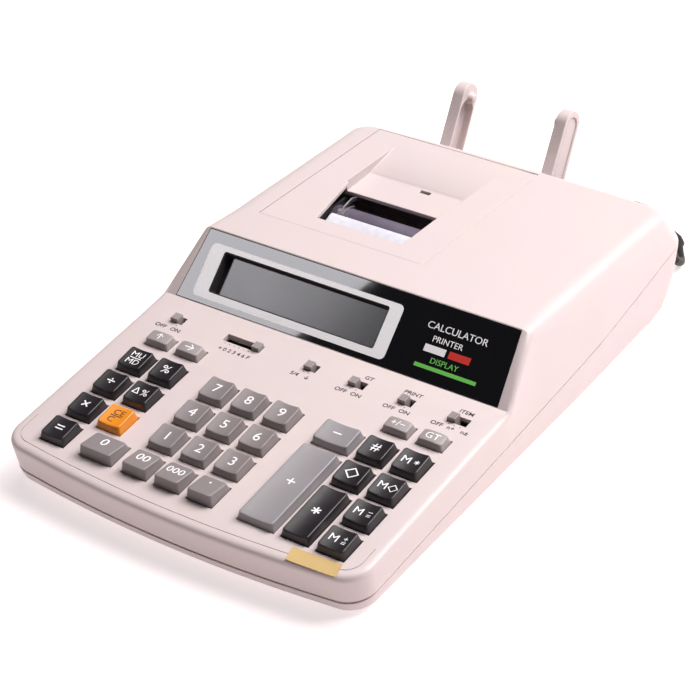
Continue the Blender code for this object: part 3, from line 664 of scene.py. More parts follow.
def rounded_rectangle(width, depth, corner, bend=5, straight=5):
    """Places round a rectangle with rounded corners, from its front right corner."""
    half_w, half_d = width / 2 - corner, depth / 2 - corner
    corners = ((1, -1), (1, 1), (-1, 1), (-1, -1))
    points = []
    for number, (side, end) in enumerate(corners):
        start = -90.0 + 90.0 * number
        turn = arc((side * half_w, end * half_d), corner, start, start + 90.0, bend)
        after = corners[(number + 1) % 4]
        goal = arc((after[0] * half_w, after[1] * half_d), corner, start + 90.0, start + 90.0, 1)[0]
        points += turn
        points += [(turn[-1][0] + (goal[0] - turn[-1][0]) * t, turn[-1][1] + (goal[1] - turn[-1][1]) * t)
                   for t in spread(0.0, 1.0, straight)[1:-1]]
    return points


def smooth_route(points, spacing):
    """Points along a smooth curve through the route's own points."""
    points = [Vector(p) for p in points]
    ends = [points[0] * 2 - points[1]] + points + [points[-1] * 2 - points[-2]]
    result = []
    for a, b, c, d in zip(ends, ends[1:], ends[2:], ends[3:]):
        steps = max(1, round((c - b).length / spacing))
        for k in range(steps):
            t = k / steps
            result.append(0.5 * (2 * b + (c - a) * t + (2 * a - 5 * b + 4 * c - d) * t * t
                                 + (3 * b - a - 3 * c + d) * t ** 3))
    return result + [points[-1]]


def hose(route, radii, sides=24):
    """A round body along a route, with a radius at each point."""
    rings = []
    for k, (point, radius) in enumerate(zip(route, radii)):
        ahead = (route[min(k + 1, len(route) - 1)] - route[max(k - 1, 0)]).normalized()
        side = ahead.cross(Vector((0, 0, 1)))
        if side.length < 0.1:
            side = Vector((1, 0, 0))
        side.normalize()
        upward = side.cross(ahead)
        rings.append([tuple(point + radius * (side * math.cos(a) + upward * math.sin(a)))
                      for a in (2 * math.pi * i / sides for i in range(sides))])
    return skin(rings)


# ---------------------------------------------------------------- lettering
PRINT_DEPTH = 0.12
PRINT_RISE = 0.05
PRINT_STEP = 0.9


def lettering(text, size, wide=1.0, weight=0.0):
    """Thin solid letters about their middle, as (places, faces), cut into narrow strips along X."""
    curve = bpy.data.curves.new("letters", "FONT")
    curve.body = text
    curve.size = size
    curve.extrude = PRINT_DEPTH / 2
    curve.offset = weight
    curve.resolution_u = 4
    shape = bpy.data.objects.new("letters", curve)
    bpy.context.collection.objects.link(shape)
    graph = bpy.context.evaluated_depsgraph_get()
    mesh = bpy.data.meshes.new_from_object(shape.evaluated_get(graph))
    bpy.data.objects.remove(shape)
    bm = bmesh.new()
    bm.from_mesh(mesh)
    bpy.data.meshes.remove(mesh)
    bmesh.ops.remove_doubles(bm, verts=bm.verts, dist=0.001)
    lows = [min(v.co[i] for v in bm.verts) for i in (0, 1)]
    highs = [max(v.co[i] for v in bm.verts) for i in (0, 1)]
    for cut_x in spread(lows[0], highs[0], max(2, math.ceil((highs[0] - lows[0]) / PRINT_STEP)))[1:-1]:
        bmesh.ops.bisect_plane(bm, geom=bm.verts[:] + bm.edges[:] + bm.faces[:],
                               plane_co=(cut_x, 0, 0), plane_no=(1, 0, 0))
    bm.verts.index_update()
    middle = [(a + b) / 2 for a, b in zip(lows, highs)]
    places = [((v.co.x - middle[0]) * wide, v.co.y - middle[1], v.co.z) for v in bm.verts]
    faces = [[v.index for v in f.verts] for f in bm.faces]
    bm.free()
    return places, faces


def bar(width, height):
    """A thin solid bar about its middle, in narrow strips along X."""
    columns = spread(-width / 2, width / 2, max(2, math.ceil(width / PRINT_STEP)))
    half, depth = height / 2, PRINT_DEPTH / 2
    return skin([[(x, -half, -depth), (x, half, -depth), (x, half, depth), (x, -half, depth)]
                 for x in columns])


class Shape:
    """Vertices and faces gathered from several bodies, each face with its material number."""

    def __init__(self):
        self.vertices, self.faces, self.inks = [], [], []

    def add(self, body, ink=0, place=None):
        """Take in a body, with its points moved by a function of x, y and z if one is given."""
        start = len(self.vertices)
        vertices, faces = body
        self.vertices += [place(*v) for v in vertices] if place else vertices
        self.faces += [[start + i for i in face] for face in faces]
        self.inks += [ink] * len(faces)

    def body(self):
        return self.vertices, self.faces, self.inks


# ---------------------------------------------------------------- case shape
TOP_WIDTHS = ((80.0, DECK_HALF_WIDTH), (PANEL_FOOT_Y, 107.8), (PANEL_TOP_Y, HOOD_HALF_WIDTH),
              (165.0, HOOD_HALF_WIDTH), (250.0, HOOD_REAR_HALF_WIDTH))
SEAM_WIDTHS = ((165.0, SEAM_HALF_WIDTH), (250.0, 106.0))
EDGE_RADII = ((80.0, 4.0), (PANEL_FOOT_Y, 2.5), (PANEL_TOP_Y, 6.0), (150.0, 9.0), (250.0, 7.0))
CREASE = ((175.7, 33.0), (244.5, 62.0))
CREASE_SWELL = 0.9
CREASE_REACH = 9.0


def side_stations():
    """Y places of the outline's stations along its straight side."""
    return (spread(-14.0, 86.0, 8) + [PANEL_FOOT_Y] + spread(100.0, 120.0, 4) + [PANEL_TOP_Y]
            + spread(131.0, 247.0, 18))


def half_outline(front_y, half_widths, rear_y):
    """Right-hand half of a plan outline, front middle to rear middle, with its inward directions."""
    width = between(front_y, half_widths)
    reach = width - FRONT_CORNER
    points = [(reach * part, front_y + FRONT_BOW * part ** 2, 0.0, 1.0) for part in spread(0.0, 0.92, 10)]
    for x, y in arc((reach, front_y + FRONT_BOW + FRONT_CORNER), FRONT_CORNER, -83.0, 0.0, 10):
        points.append((x, y, (reach - x) / FRONT_CORNER,
                       (front_y + FRONT_BOW + FRONT_CORNER - y) / FRONT_CORNER))
    points += [(between(y, half_widths), y, -1.0, 0.0) for y in side_stations()]
    width = between(rear_y, half_widths)
    centre = (width - REAR_CORNER, rear_y - 2 - REAR_CORNER)
    for x, y in arc(centre, REAR_CORNER, 0.0, 90.0, 9):
        points.append((x, y, (centre[0] - x) / REAR_CORNER, (centre[1] - y) / REAR_CORNER))
    points += [(width * part, rear_y - 2 * part ** 2, 0.0, -1.0) for part in (0.6, 0.4, 0.2, 0.0)]
    return points


def top_outline():
    return half_outline(FRONT_Y, TOP_WIDTHS, HOOD_REAR_Y)


def seam_outline(inset=0.0, rear_y=SEAM_REAR_Y, narrower=0.0):
    shift = inset + narrower
    return [(x + shift * ix, y + shift * iy, ix, iy)
            for x, y, ix, iy in half_outline(SEAM_FRONT_Y, SEAM_WIDTHS, rear_y)]


def crease_swell(y, z):
    """How far the hood's side stands out near the soft crease that runs up it to the rear."""
    (ay, az), (by, bz) = CREASE
    along = Vector((by - ay, bz - az))
    offset = Vector((y - ay, z - az))
    part = offset.dot(along) / along.length_squared
    away = (offset - along * part).length
    fade = max(0.0, min(1.0, (part + 0.15) / 0.3)) * max(0.0, min(1.0, (1.25 - part) / 0.3))
    return CREASE_SWELL * fade * math.exp(-(away / CREASE_REACH) ** 2)


SIDE_STEPS = 9
EDGE_STEPS = 8


def upper_rings(inset):
    """Rings of the upper shell from the seam up over its rounded edge, moved inward by inset."""
    rings = [[] for _ in range(SIDE_STEPS + EDGE_STEPS + 1)]
    for (tx, ty, ix, iy), (sx, sy, jx, jy) in zip(top_outline(), seam_outline()):
        radius = max(0.8, between(ty, EDGE_RADII) - inset)
        corner = Vector((tx + inset * ix, ty + inset * iy, top_z(ty) - inset))
        seam = Vector((sx + inset * jx, sy + inset * jy, seam_z(sy)))
        down = corner + (seam - corner).normalized() * radius
        inner_y = corner.y + radius * iy
        inner = Vector((corner.x + radius * ix, inner_y, top_z(inner_y) - inset))
        for step in range(SIDE_STEPS):
            point = seam.lerp(down, step / SIDE_STEPS)
            point.x -= ix * crease_swell(point.y, point.z) if inset == 0.0 else 0.0
            rings[step].append(point)
        for step, t in enumerate(spread(0.0, 1.0, EDGE_STEPS)):
            rings[SIDE_STEPS + step].append(down * (1 - t) ** 2 + corner * (2 * t * (1 - t))
                                            + inner * t ** 2)
    return rings


LIP_HEIGHT = 0.9
LIP_DEPTH = 0.9


def lower_rings(inset, floor_z):
    """Rings of the lower shell from the seam down to the floor, moved inward by inset."""
    stages = [(0.0, 0.0, SEAM_REAR_Y), (0.25, 0.4, 274.6), (0.5, 0.8, 272.0), (0.7, 1.2, 268.4),
              (0.88, 1.6, 263.5), (0.95, 2.2, 260.2), (1.0, 3.4, 255.5)]
    rings = []
    if inset == 0.0:
        for drop in (0.0, LIP_HEIGHT):
            rings.append([Vector((x, y, seam_z(y) - SEAM_GAP - drop))
                          for x, y, _, _ in seam_outline(LIP_DEPTH)])
    for fall, narrower, rear_y in stages:
        ring = []
        for x, y, _, _ in seam_outline(inset, rear_y, narrower):
            high = seam_z(y) - SEAM_GAP - (LIP_HEIGHT + 0.1 if inset == 0.0 else 0.0)
            ring.append(Vector((x, y, high + (floor_z - high) * fall)))
        rings.append(ring)
    return rings


def closed_rings(half_rings):
    """Complete each half ring with its mirror image, going right side out and left side back."""
    return [ring + [Vector((-p.x, p.y, p.z)) for p in reversed(ring[1:-1])] for ring in half_rings]


def shell(outer, inner):
    """A thin shell open at its first rings, with its closed ends in strips across X."""
    rings = list(reversed(closed_rings(inner))) + closed_rings(outer)
    count = len(rings[0])
    vertices = [tuple(point) for ring in rings for point in ring]
    faces = bands([range(r * count, (r + 1) * count) for r in range(len(rings))], ends=False)
    half = count // 2
    for start in (0, (len(rings) - 1) * count):
        faces.append([start, start + 1, start + count - 1])
        faces += [[start + k, start + k + 1, start + count - k - 1, start + count - k]
                  for k in range(1, half - 1)]
        faces.append([start + half - 1, start + half, start + half + 1])
    return vertices, faces


# ---------------------------------------------------------------- keys
def key_table():
    """Every key as (name, x, v, width, depth, family)."""
    keys = []
    function_names = (("equals", None), ("multiply", "clear_entry"), ("divide", "delta_percent"),
                      ("markup", "percent"))
    for v, names in zip(ROWS, function_names):
        for x, name in zip(FUNCTION_COLUMNS, names):
            if name:
                family = "orange" if name == "clear_entry" else "black"
                keys.append((name, x, v, *KEY_BASE, family))
    keys.append(("0", -53.7, ROWS[0], KEY_PITCH, KEY_BASE[1], "low"))
    for x, name in zip(DIGIT_COLUMNS, ("00", "000", "point")):
        keys.append((name, x, ROWS[0], *KEY_BASE, "low"))
    for row, v in enumerate(ROWS[1:]):
        for column, x in enumerate(DIGIT_COLUMNS):
            keys.append((str(1 + column + 3 * row), x, v, *KEY_BASE, "digit"))
    keys.append(("minus", PLUS_COLUMN, ROWS[3], 21.2, KEY_BASE[1], "operator"))
    keys.append(("plus", PLUS_COLUMN, 0.0, 21.2, 55.2, "operator"))
    keys.append(("total", RIGHT_COLUMNS[0], -9.9, 15.8, 35.0, "black"))
    keys.append(("subtotal", RIGHT_COLUMNS[0], ROWS[2], 15.8, KEY_BASE[1], "black"))
    keys.append(("number", RIGHT_COLUMNS[0], ROWS[3], 15.8, KEY_BASE[1], "black"))
    for v, name in zip(ROWS, ("memory_plus", "memory_minus", "memory_subtotal", "memory_total")):
        keys.append((name, RIGHT_COLUMNS[1], v, 15.8, KEY_BASE[1], "black"))
    for x, name in ((-81.8, "paper_feed"), (-62.3, "shift_right"), (65.9, "sign_change"),
                    (85.9, "grand_total")):
        keys.append((name, x, 59.9, 15.0, 9.0, "small"))
    return keys


# family: finish, record slot, front height, rear height, dish of the top, rounding of its edge
KEY_FAMILIES = {
    "black": ("black_key", "black_key", 4.4, 5.3, 0.75, 0.7),
    "orange": ("orange_key", "orange_key", 4.4, 5.3, 0.75, 0.8),
    "digit": ("grey_key", "grey_key", 4.4, 5.3, 0.75, 0.6),
    "low": ("grey_key", "grey_key", 6.2, 3.8, 0.0, 0.6),
    "operator": ("operator_key", "operator_key", 4.4, 5.3, 0.75, 0.7),
    "small": ("light_key", "light_key", 3.4, 3.9, -0.45, 0.7),
}

# What is printed on each key: (text, right of its middle, behind its middle, size)
MEMORY_LETTER = ("M", -2.3, 0.2, 6.0)
LEGENDS = {
    "equals": [("=", 0, 0.4, 9.0)], "multiply": [("×", 0, 0.4, 9.0)], "divide": [("÷", 0, 0.4, 9.0)],
    "markup": [("MU", 0, 2.7, 4.9), ("MD", 0, -2.5, 4.9), ("_", 0, 0.1, 7.0)],
    "percent": [("%", 0, 0.4, 7.2)], "delta_percent": [("Δ", -3.2, 0.4, 5.6), ("%", 1.9, 0.4, 6.0)],
    "clear_entry": [("CE", 0.4, 2.5, 5.0), ("C", -1.4, -2.6, 5.0), ("_", 0, 0.0, 6.6)],
    "point": [("•", 0, 1.6, 4.6)], "minus": [("−", 0, 0.4, 9.0)], "plus": [("+", 0, 2.0, 9.0)],
    "total": [("∗", 0, 1.0, 12.0)], "subtotal": [("◇", 0, 0.2, 7.6)], "number": [("#", 0, 0.4, 7.2)],
    "memory_plus": [MEMORY_LETTER, ("+", 3.6, 1.4, 4.4), ("=", 3.6, -1.2, 4.4)],
    "memory_minus": [MEMORY_LETTER, ("−", 3.6, 1.4, 4.4), ("=", 3.6, -0.9, 4.4)],
    "memory_subtotal": [MEMORY_LETTER, ("◇", 3.4, 0.0, 5.4)],
    "memory_total": [MEMORY_LETTER, ("∗", 3.6, 0.2, 7.0)],
    "paper_feed": [("↑", 0, 0.2, 5.6)], "shift_right": [("→", 0, 0.2, 7.0)],
    "sign_change": [("+/−", 0, 0.2, 5.2)], "grand_total": [("GT", 0, 0.2, 5.4)],
}
DIGIT_SIZE = {"0": 7.6, "00": 7.0, "000": 6.2}
LOW_KEY_SHIFT = 1.2


def key_top(width, depth, family):
    """Height of a cap's top over the deck at a place on it."""
    _, _, front, rear, dish, _ = KEY_FAMILIES[family]
    top_w, top_d = width - KEY_TAPER, depth - KEY_TAPER

    def height(x, y):
        rise = front + (rear - front) * (y + top_d / 2) / top_d
        return rise - dish * (1 - (2 * x / top_w) ** 2)
    return height


def key_cap(width, depth, family):
    """A hollow-looking cap's outer skin: skirt, tapered sides, rounded edge and dished top."""
    edge = KEY_FAMILIES[family][5]
    top = key_top(width, depth, family)
    side_steps = max(5, round(depth / 3))
    brink = (width - KEY_TAPER + 0.3, depth - KEY_TAPER + 0.3)

    def ring(w, d, corner, height):
        return [(x, y, height(x, y)) for x, y in rounded_rectangle(w, d, corner, 5, side_steps)]

    rings = [ring(width, depth, 1.0, lambda x, y: -KEY_BELOW_DECK),
             ring(width, depth, 1.0, lambda x, y: 0.3)]
    for part in (0.5, 1.0):
        size = [a + (b - a) * part for a, b in zip((width, depth), brink)]
        rings.append(ring(*size, 1.0 + 0.5 * part,
                          lambda x, y, part=part: 0.3 + (top(x, y) - edge - 0.3) * part))
    for angle in (math.radians(a) for a in spread(0, 90, 5)[1:]):
        inward = 2 * edge * (1 - math.cos(angle))
        rings.append(ring(brink[0] - inward, brink[1] - inward, 1.5 - inward / 4,
                          lambda x, y, angle=angle: top(x, y) - edge * (1 - math.sin(angle))))
    rim = rings[-1]
    for share in (0.86, 0.7, 0.52, 0.34, 0.16):
        rings.append([(x * share, y * share, top(x * share, y * share)) for x, y, _ in rim])
    return skin(rings)


def add_legend(shape, text, right, behind, size, top):
    """Lay one printed mark on a cap's top; an underscore is a thin bar."""
    def place(x, y, z):
        x, y = x + right, y + behind
        return (x, y, top(x, y) + z + PRINT_RISE - PRINT_DEPTH / 2)

    shape.add(bar(size, 0.55) if text == "_" else lettering(text, size, 1.12), 1, place)


def add_keys():
    for name, x, v, width, depth, family in key_table():
        finish, slot = KEY_FAMILIES[family][:2]
        shape = Shape()
        shape.add(key_cap(width, depth, family))
        for text, right, behind, size in LEGENDS.get(name, [(name, 0, 0.4, DIGIT_SIZE.get(name, 7.8))]):
            behind += LOW_KEY_SHIFT if family == "low" else 0
            add_legend(shape, text, right, behind, size, key_top(width, depth, family))
        shape.vertices = [deck(x + a, v + b, n) for a, b, n in shape.vertices]
        ink = "dark_ink" if family == "orange" else "white_ink"
        add_piece("keycap_" + name, shape.body(), (finish, ink), "key_" + name, ("key_" + name,), 40)


# ---------------------------------------------------------------- slide switches
KNOB_RIBS = 4


def knob_rest_x(left, right, place):
    return right - KNOB_WIDTH / 2 - SEAM_GAP if place else left + KNOB_WIDTH / 2 + SEAM_GAP


def knob_outline():
    """Outline of a knob in X and height: a block with rounded finger ribs on top."""
    half = KNOB_WIDTH / 2
    pitch = KNOB_WIDTH / KNOB_RIBS
    points = [(-half, -4.2), (half, -4.2)]
    for rib in reversed(range(KNOB_RIBS)):
        middle = -half + pitch * (rib + 0.5)
        points += arc((middle, 2.6 - pitch * 0.42), pitch * 0.42, 0.0, 180.0, 6)
        if rib:
            points.append((middle - pitch / 2, 1.4))
    return points


def add_switches():
    middle = sum(SLOT_ROW) / 2
    half = (SLOT_ROW[1] - SLOT_ROW[0]) / 2 - 0.35
    for name, left, right, place in SWITCHES:
        rest = knob_rest_x(left, right, place)
        body = skin([[deck(rest + x, middle + v, n) for x, n in knob_outline()]
                     for v in (-half, -half + 0.25, half - 0.25, half)])
        knob = add_piece("knob_" + name, body, ("switch",), "switch_" + name, ("switch_" + name,),
                         50)
        soften(knob, 0.15, 2, 60)
    liners = boxes([((left - 1.0, SLOT_ROW[0] - 1.0, -6.4), (right + 1.0, SLOT_ROW[1] + 1.0, -4.6))
                    for _, left, right, _ in SWITCHES], deck)
    soften(add_piece("switch_liners", liners, ("dark",)), 0.3)


# ---------------------------------------------------------------- case
GROOVE_INSET = 5.6
GROOVE_WIDTH = 0.4
GROOVE_DEPTH = 0.5
GROOVE_END_Y = -12.0
PANEL_OPENING = (99.9, 96.2)
KEY_HOLE_REACH = (-6.0, 3.0)
BEAM_RADIUS = 4.6
BEAM_ROOT_Y = 264.5
ARM_PIN_RADIUS = 2.4
CORD_HOLE_RADIUS = 4.6
COVER_GAP = 0.35
COVER_FRONT_GAP = 0.12
SCREW_PLACES = ((-78.0, -20.0), (78.0, -20.0), (-80.0, 130.0), (80.0, 130.0), (-61.0, 227.0), (61.0, 227.0))


def cover_block(shrink, front_shrink):
    """The column over and under the cover: the hood's opening, or the cover with its gaps."""
    return boxes([((COVER_X[0] + shrink, COVER_Y[0] + front_shrink, 40.0),
                   (COVER_X[1] - shrink, COVER_Y[1] - shrink, 90.0))])


def slope_block(low, high, half_low, half_high, slants, middle=0.0):
    """A block along the display slope that may be narrower at its top."""
    corners = [(middle - half_low, slants[0]), (middle + half_low, slants[0]),
               (middle + half_high, slants[1]), (middle - half_high, slants[1])]
    return plate(corners, low, high, slope)


def front_groove():
    """Cutter of the fine groove that follows the deck's front edge and turns up its sides."""
    def line(inset):
        half = [(x + inset * ix, y + inset * iy) for x, y, ix, iy in top_outline() if y < GROOVE_END_Y]
        return [(-x, y) for x, y in reversed(half[1:])] + half

    return skin([[(ax, ay, deck_z(ay) - GROOVE_DEPTH), (bx, by, deck_z(by) - GROOVE_DEPTH),
                  (bx, by, deck_z(by) + 1.0), (ax, ay, deck_z(ay) + 1.0)]
                 for (ax, ay), (bx, by) in zip(line(GROOVE_INSET), line(GROOVE_INSET + GROOVE_WIDTH))])


def add_upper_case():
    case = add_piece("case_top", shell(upper_rings(0.0), upper_rings(WALL)), ("case",), "case",
                     ("upper_case",))
    bottom, top = KEY_HOLE_REACH
    holes = []
    for _, x, v, width, depth, _ in key_table():
        w, d = width / 2 + KEY_HOLE_GAP, depth / 2 + KEY_HOLE_GAP
        holes.append(((x - w, v - d, bottom), (x + w, v + d, top)))
    holes += [((left, SLOT_ROW[0], bottom), (right, SLOT_ROW[1], top)) for _, left, right, _ in SWITCHES]
    cut(case, boxes(holes, deck))
    cut(case, slope_block(-PANEL_RECESS, 4.0, *PANEL_OPENING, PANEL_SLANTS))
    middle, half = sum(DISPLAY_X) / 2, (DISPLAY_X[1] - DISPLAY_X[0]) / 2 + 3.0
    cut(case, slope_block(-9.0, 4.0, half, half, (4.6, 33.4), middle))
    cut(case, cover_block(0.0, 0.0))
    cut(case, front_groove())
    shade_smooth(case)
    soften(case, 0.3, 2, 60, True)


def add_lower_case():
    walls = shell(lower_rings(0.0, BASE_BOTTOM), lower_rings(WALL, BASE_BOTTOM + WALL))
    tray = add_piece("case_bottom", walls, ("case",), "case", ("lower_case",))
    y, z = ARM_PIVOT
    x_low = PAPER_X - ARM_INNER_SPACING / 2 + 0.6
    x_high = PAPER_X + ARM_INNER_SPACING / 2 - 0.6
    beam = arc((y, z), BEAM_RADIUS, -90.0, 90.0, 14)
    beam += [(BEAM_ROOT_Y, z + BEAM_RADIUS), (BEAM_ROOT_Y, z - BEAM_RADIUS)]
    cut(tray, plate(beam, x_low, x_high, across), "UNION")
    reach = ARM_THICKNESS + 1.2
    pins = [(x_low - reach, ARM_PIN_RADIUS), (x_high + reach, ARM_PIN_RADIUS)]
    cut(tray, turned(pins, ARM_PIVOT, 32), "UNION")
    hole = arc((CORD_EXIT[0], CORD_EXIT[2]), CORD_HOLE_RADIUS, 0.0, 345.0, 23)
    cut(tray, plate(hole, 262.0, 280.0, lambda a, b, n: (a, n, b)))
    for x, y in SCREW_PLACES:
        cut(tray, plate(arc((x, y), 4.2, 3.7, 348.7, 23), BASE_BOTTOM - 1.0, BASE_BOTTOM + 1.6, upright))
    shade_smooth(tray)
    soften(tray, 0.3, 2, 60)


def add_case_screws():
    """Cross-head screws in the wells of the lower case, all in one piece."""
    shape = Shape()
    for x, y in SCREW_PLACES:
        shape.add(skin([[(a, b, BASE_BOTTOM + h) for a, b in arc((x, y), r, 0.0, 345.0, 23)]
                        for r, h in ((3.0, 1.7), (3.0, 0.9), (2.2, 0.3), (1.2, 0.15))]))
    screws = add_piece("case_screws", shape.body(), ("steel",))
    for w, d, low, high in ((1.6, 0.3, 1.0, 0.8), (0.3, 1.6, 1.2, 0.85)):
        cut(screws, boxes([((x - w, y - d, BASE_BOTTOM - low), (x + w, y + d, BASE_BOTTOM + high))
                           for x, y in SCREW_PLACES]))


# ---------------------------------------------------------------- printer cover
WINDOW_FLARE = 7.0


def add_printer_cover():
    """The lift-off cover: a slice of the hood with the paper window and the sloping paper trough."""
    cover = add_piece("cover_top", shell(upper_rings(0.0), upper_rings(WALL)), ("case",), "printer_cover",
                      ("printer_cover",))
    cut(cover, cover_block(COVER_GAP, COVER_FRONT_GAP), "INTERSECT")
    left, right = WINDOW_X[0] - 8.5, WINDOW_X[1] + 1.5
    y_window, y_foot, y_top = WINDOW_Y[1], RAMP_Y[0], RAMP_Y[1]
    tray = [(y_window - 0.1, SHELF_Z - 2.2), (y_foot + 1, SHELF_Z - 2.2), (y_top + 4, top_z(y_top) - 2.4),
            (y_top + 4, top_z(y_top + 4) - 0.4), (y_window - 0.1, top_z(y_window) - 0.4)]
    cut(cover, plate(tray, left - 2.0, right + 2.0, across), "UNION")
    trough = [(y_window - 0.2, SHELF_Z)]
    trough += arc((y_foot - 1.5, SHELF_Z + 5.0), 5.0, -90.0, -57.0, 5)
    trough += [(y_top, top_z(y_top)), (y_top, top_z(y_top) + 4.0), (y_window - 0.2, top_z(y_window) + 4.0)]
    cut(cover, plate(trough, left, right, across))
    cut(cover, boxes([((PAPER_X - 1.5, 222.0, 40.0), (PAPER_X + 5.0, 224.5, 70.0))]))
    window = [(WINDOW_X[0] + 1.5, WINDOW_Y[0]), (WINDOW_X[1], WINDOW_Y[0]),
              (WINDOW_X[1], WINDOW_Y[1] + 0.2), (WINDOW_X[0] - WINDOW_FLARE, WINDOW_Y[1] + 0.2)]
    cut(cover, plate(window, 40.0, 80.0, upright))
    shade_smooth(cover)
    soften(cover, 0.4, 3, 50)


# ---------------------------------------------------------------- display
def slope_ring(x_range, slants, corner, inset, n):
    """A rounded rectangle on the display slope, drawn in by inset, at a height n."""
    width = x_range[1] - x_range[0] - 2 * inset
    depth = slants[1] - slants[0] - 2 * inset
    middle = (sum(x_range) / 2, sum(slants) / 2)
    return [slope(middle[0] + a, middle[1] + b, n)
            for a, b in rounded_rectangle(width, depth, max(0.3, corner - inset), 6, 4)]


def add_display():
    """Glossy black fascia, the white frame printed round its opening, the filter and its deep walls."""
    fascia = add_piece("fascia", slope_block(-PANEL_RECESS + SEAM_GAP, 0.1, 99.5, 95.8,
                                                      (0.55, 39.8)),
                       ("panel",), "case", ("display_panel",))
    opening = skin([slope_ring(DISPLAY_X, DISPLAY_SLANTS, 1.2, 0.0, n) for n in (-4.0, 3.0)])
    cut(fascia, opening)
    soften(fascia, 0.15, 2, 50)

    outer = [slope_ring(FRAME_X, FRAME_SLANTS, 3.0, inset, n) for inset, n in ((0.0, 0.02), (0.05, 0.14))]
    inner = [slope_ring(DISPLAY_X, DISPLAY_SLANTS, 1.2, -0.15, n) for n in (0.14, 0.02)]
    add_piece("display_frame", skin(outer + inner, True), ("frame_white",))

    wall_outer = [slope_ring(DISPLAY_X, DISPLAY_SLANTS, 1.6, inset, n)
                  for inset, n in ((-0.9, -5.0), (-0.9, -1.75), (-0.05, -1.75))]
    wall_inner = [slope_ring(DISPLAY_X, DISPLAY_SLANTS, 1.2, inset, n) for inset, n in
                  ((0.05, -0.05), (0.5, -0.2), (1.1, -5.0))]
    add_piece("display_well", skin(wall_outer + wall_inner, True), ("dark",))

    glass_x = (DISPLAY_X[0] - 2.0, DISPLAY_X[1] + 2.0)
    glass_slants = (DISPLAY_SLANTS[0] - 1.8, DISPLAY_SLANTS[1] + 1.8)
    filter_rings = [slope_ring(glass_x, glass_slants, 1.5, inset, n) for inset, n in
                    ((0.0, -5.9), (0.0, -5.2), (0.15, -5.05))]
    add_piece("filter", skin(filter_rings), ("glass",), "case", ("display_filter",))


def slope_marks(marks):
    """Printed marks on the fascia, as one body: (text or bar size, x, s, size)."""
    shape = Shape()
    for mark, x, s, size in marks:
        body = lettering(mark, size, 1.05) if isinstance(mark, str) else bar(*mark)
        shape.add(body, 0, lambda a, b, n, x=x, s=s: slope(x + a, s + b, 0.1 + n + PRINT_RISE))
    return shape.body()


def add_fascia_marks():
    """Plain blocks, a coloured rule and a generic word where a maker's panel would carry its own."""
    add_piece("fascia_word", slope_marks([("CALCULATOR", 64.5, 28.6, 5.2), ("PRINTER", 61.4, 22.4, 4.4)]),
              ("white_ink",))
    add_piece("fascia_block_white", slope_marks([((12.4, 3.8), 56.0, 17.0, 0)]), ("white_ink",))
    add_piece("fascia_block_red", slope_marks([((12.4, 3.8), 70.4, 17.0, 0)]), ("red_ink",))
    add_piece("fascia_words_green", slope_marks([("DISPLAY", 64.0, 11.6, 4.2)]), ("green_ink",))
    add_piece("fascia_rule", slope_marks([((36.0, 2.0), 66.0, 7.6, 0)]), ("green_ink",))


# ---------------------------------------------------------------- printing on the deck
DOT_ROW = 74.9


def deck_marks():
    """Words and dots beside the slide switches: (text, x, v, size)."""
    words = [("OFF", -91.0, 71.6, 3.6), ("ON", -81.6, 71.6, 3.6)]
    words += [(sign, x, 70.7, 3.5) for sign, x in zip("+02346F", spread(-51.4, -33.6, 6))]
    words += [("5/4", -4.9, 71.5, 3.5), ("↓", 2.6, 71.4, 3.6),
              ("OFF", 23.2, 71.8, 3.6), ("ON", 32.2, 71.8, 3.6), ("GT", 31.4, 85.4, 3.5),
              ("OFF", 51.8, 72.0, 3.6), ("ON", 60.8, 72.0, 3.6), ("PRINT", 57.6, 85.6, 3.5),
              ("OFF", 79.6, 72.4, 3.6), ("n+", 87.6, 72.4, 3.6), ("n±", 95.4, 72.4, 3.6),
              ("ITEM", 88.6, 85.6, 3.5)]
    dots = spread(-51.4, -33.6, 6) + [-86.6, -83.4, -1.8, 1.4, 26.8, 30.2, 55.8, 59.2, 84.8, 88.1, 91.4]
    return words, dots


def add_deck_printing():
    words, dots = deck_marks()
    shape = Shape()
    for text, x, v, size in words:
        shape.add(lettering(text, size, 1.1, 0.05), 0,
                  lambda a, b, n, x=x, v=v: deck(x + a, v + b, n + PRINT_RISE - PRINT_DEPTH / 2 + 0.02))
    for x in dots:
        shape.add(plate(arc((x, DOT_ROW), 0.32, 0, 315, 7), -0.05, 0.05, deck))
    add_piece("deck_printing", shape.body(), ("dark_ink",))


LABEL_CORNERS = ((69.6, -39.0), (96.6, -37.6), (94.9, -29.2), (68.0, -30.6))


def add_label():
    """A small yellow sticker on the front of the deck, a little proud and curled at its ends."""
    columns, rows = 12, 4
    (ax, ay), (bx, by), (cx, cy), (dx, dy) = LABEL_CORNERS
    rings = []
    for i in range(columns + 1):
        t = i / columns
        curl = 0.35 * (2 * abs(t - 0.5)) ** 6
        line = []
        for j in range(rows + 1):
            u = j / rows
            x = (ax + (bx - ax) * t) * (1 - u) + (dx + (cx - dx) * t) * u
            v = (ay + (by - ay) * t) * (1 - u) + (dy + (cy - dy) * t) * u
            line.append((x, v, 0.12 + curl))
        rings.append([deck(x, v, n) for x, v, n in line]
                     + [deck(x, v, n - 0.1) for x, v, n in reversed(line)])
    add_piece("label", skin(rings), ("label",))


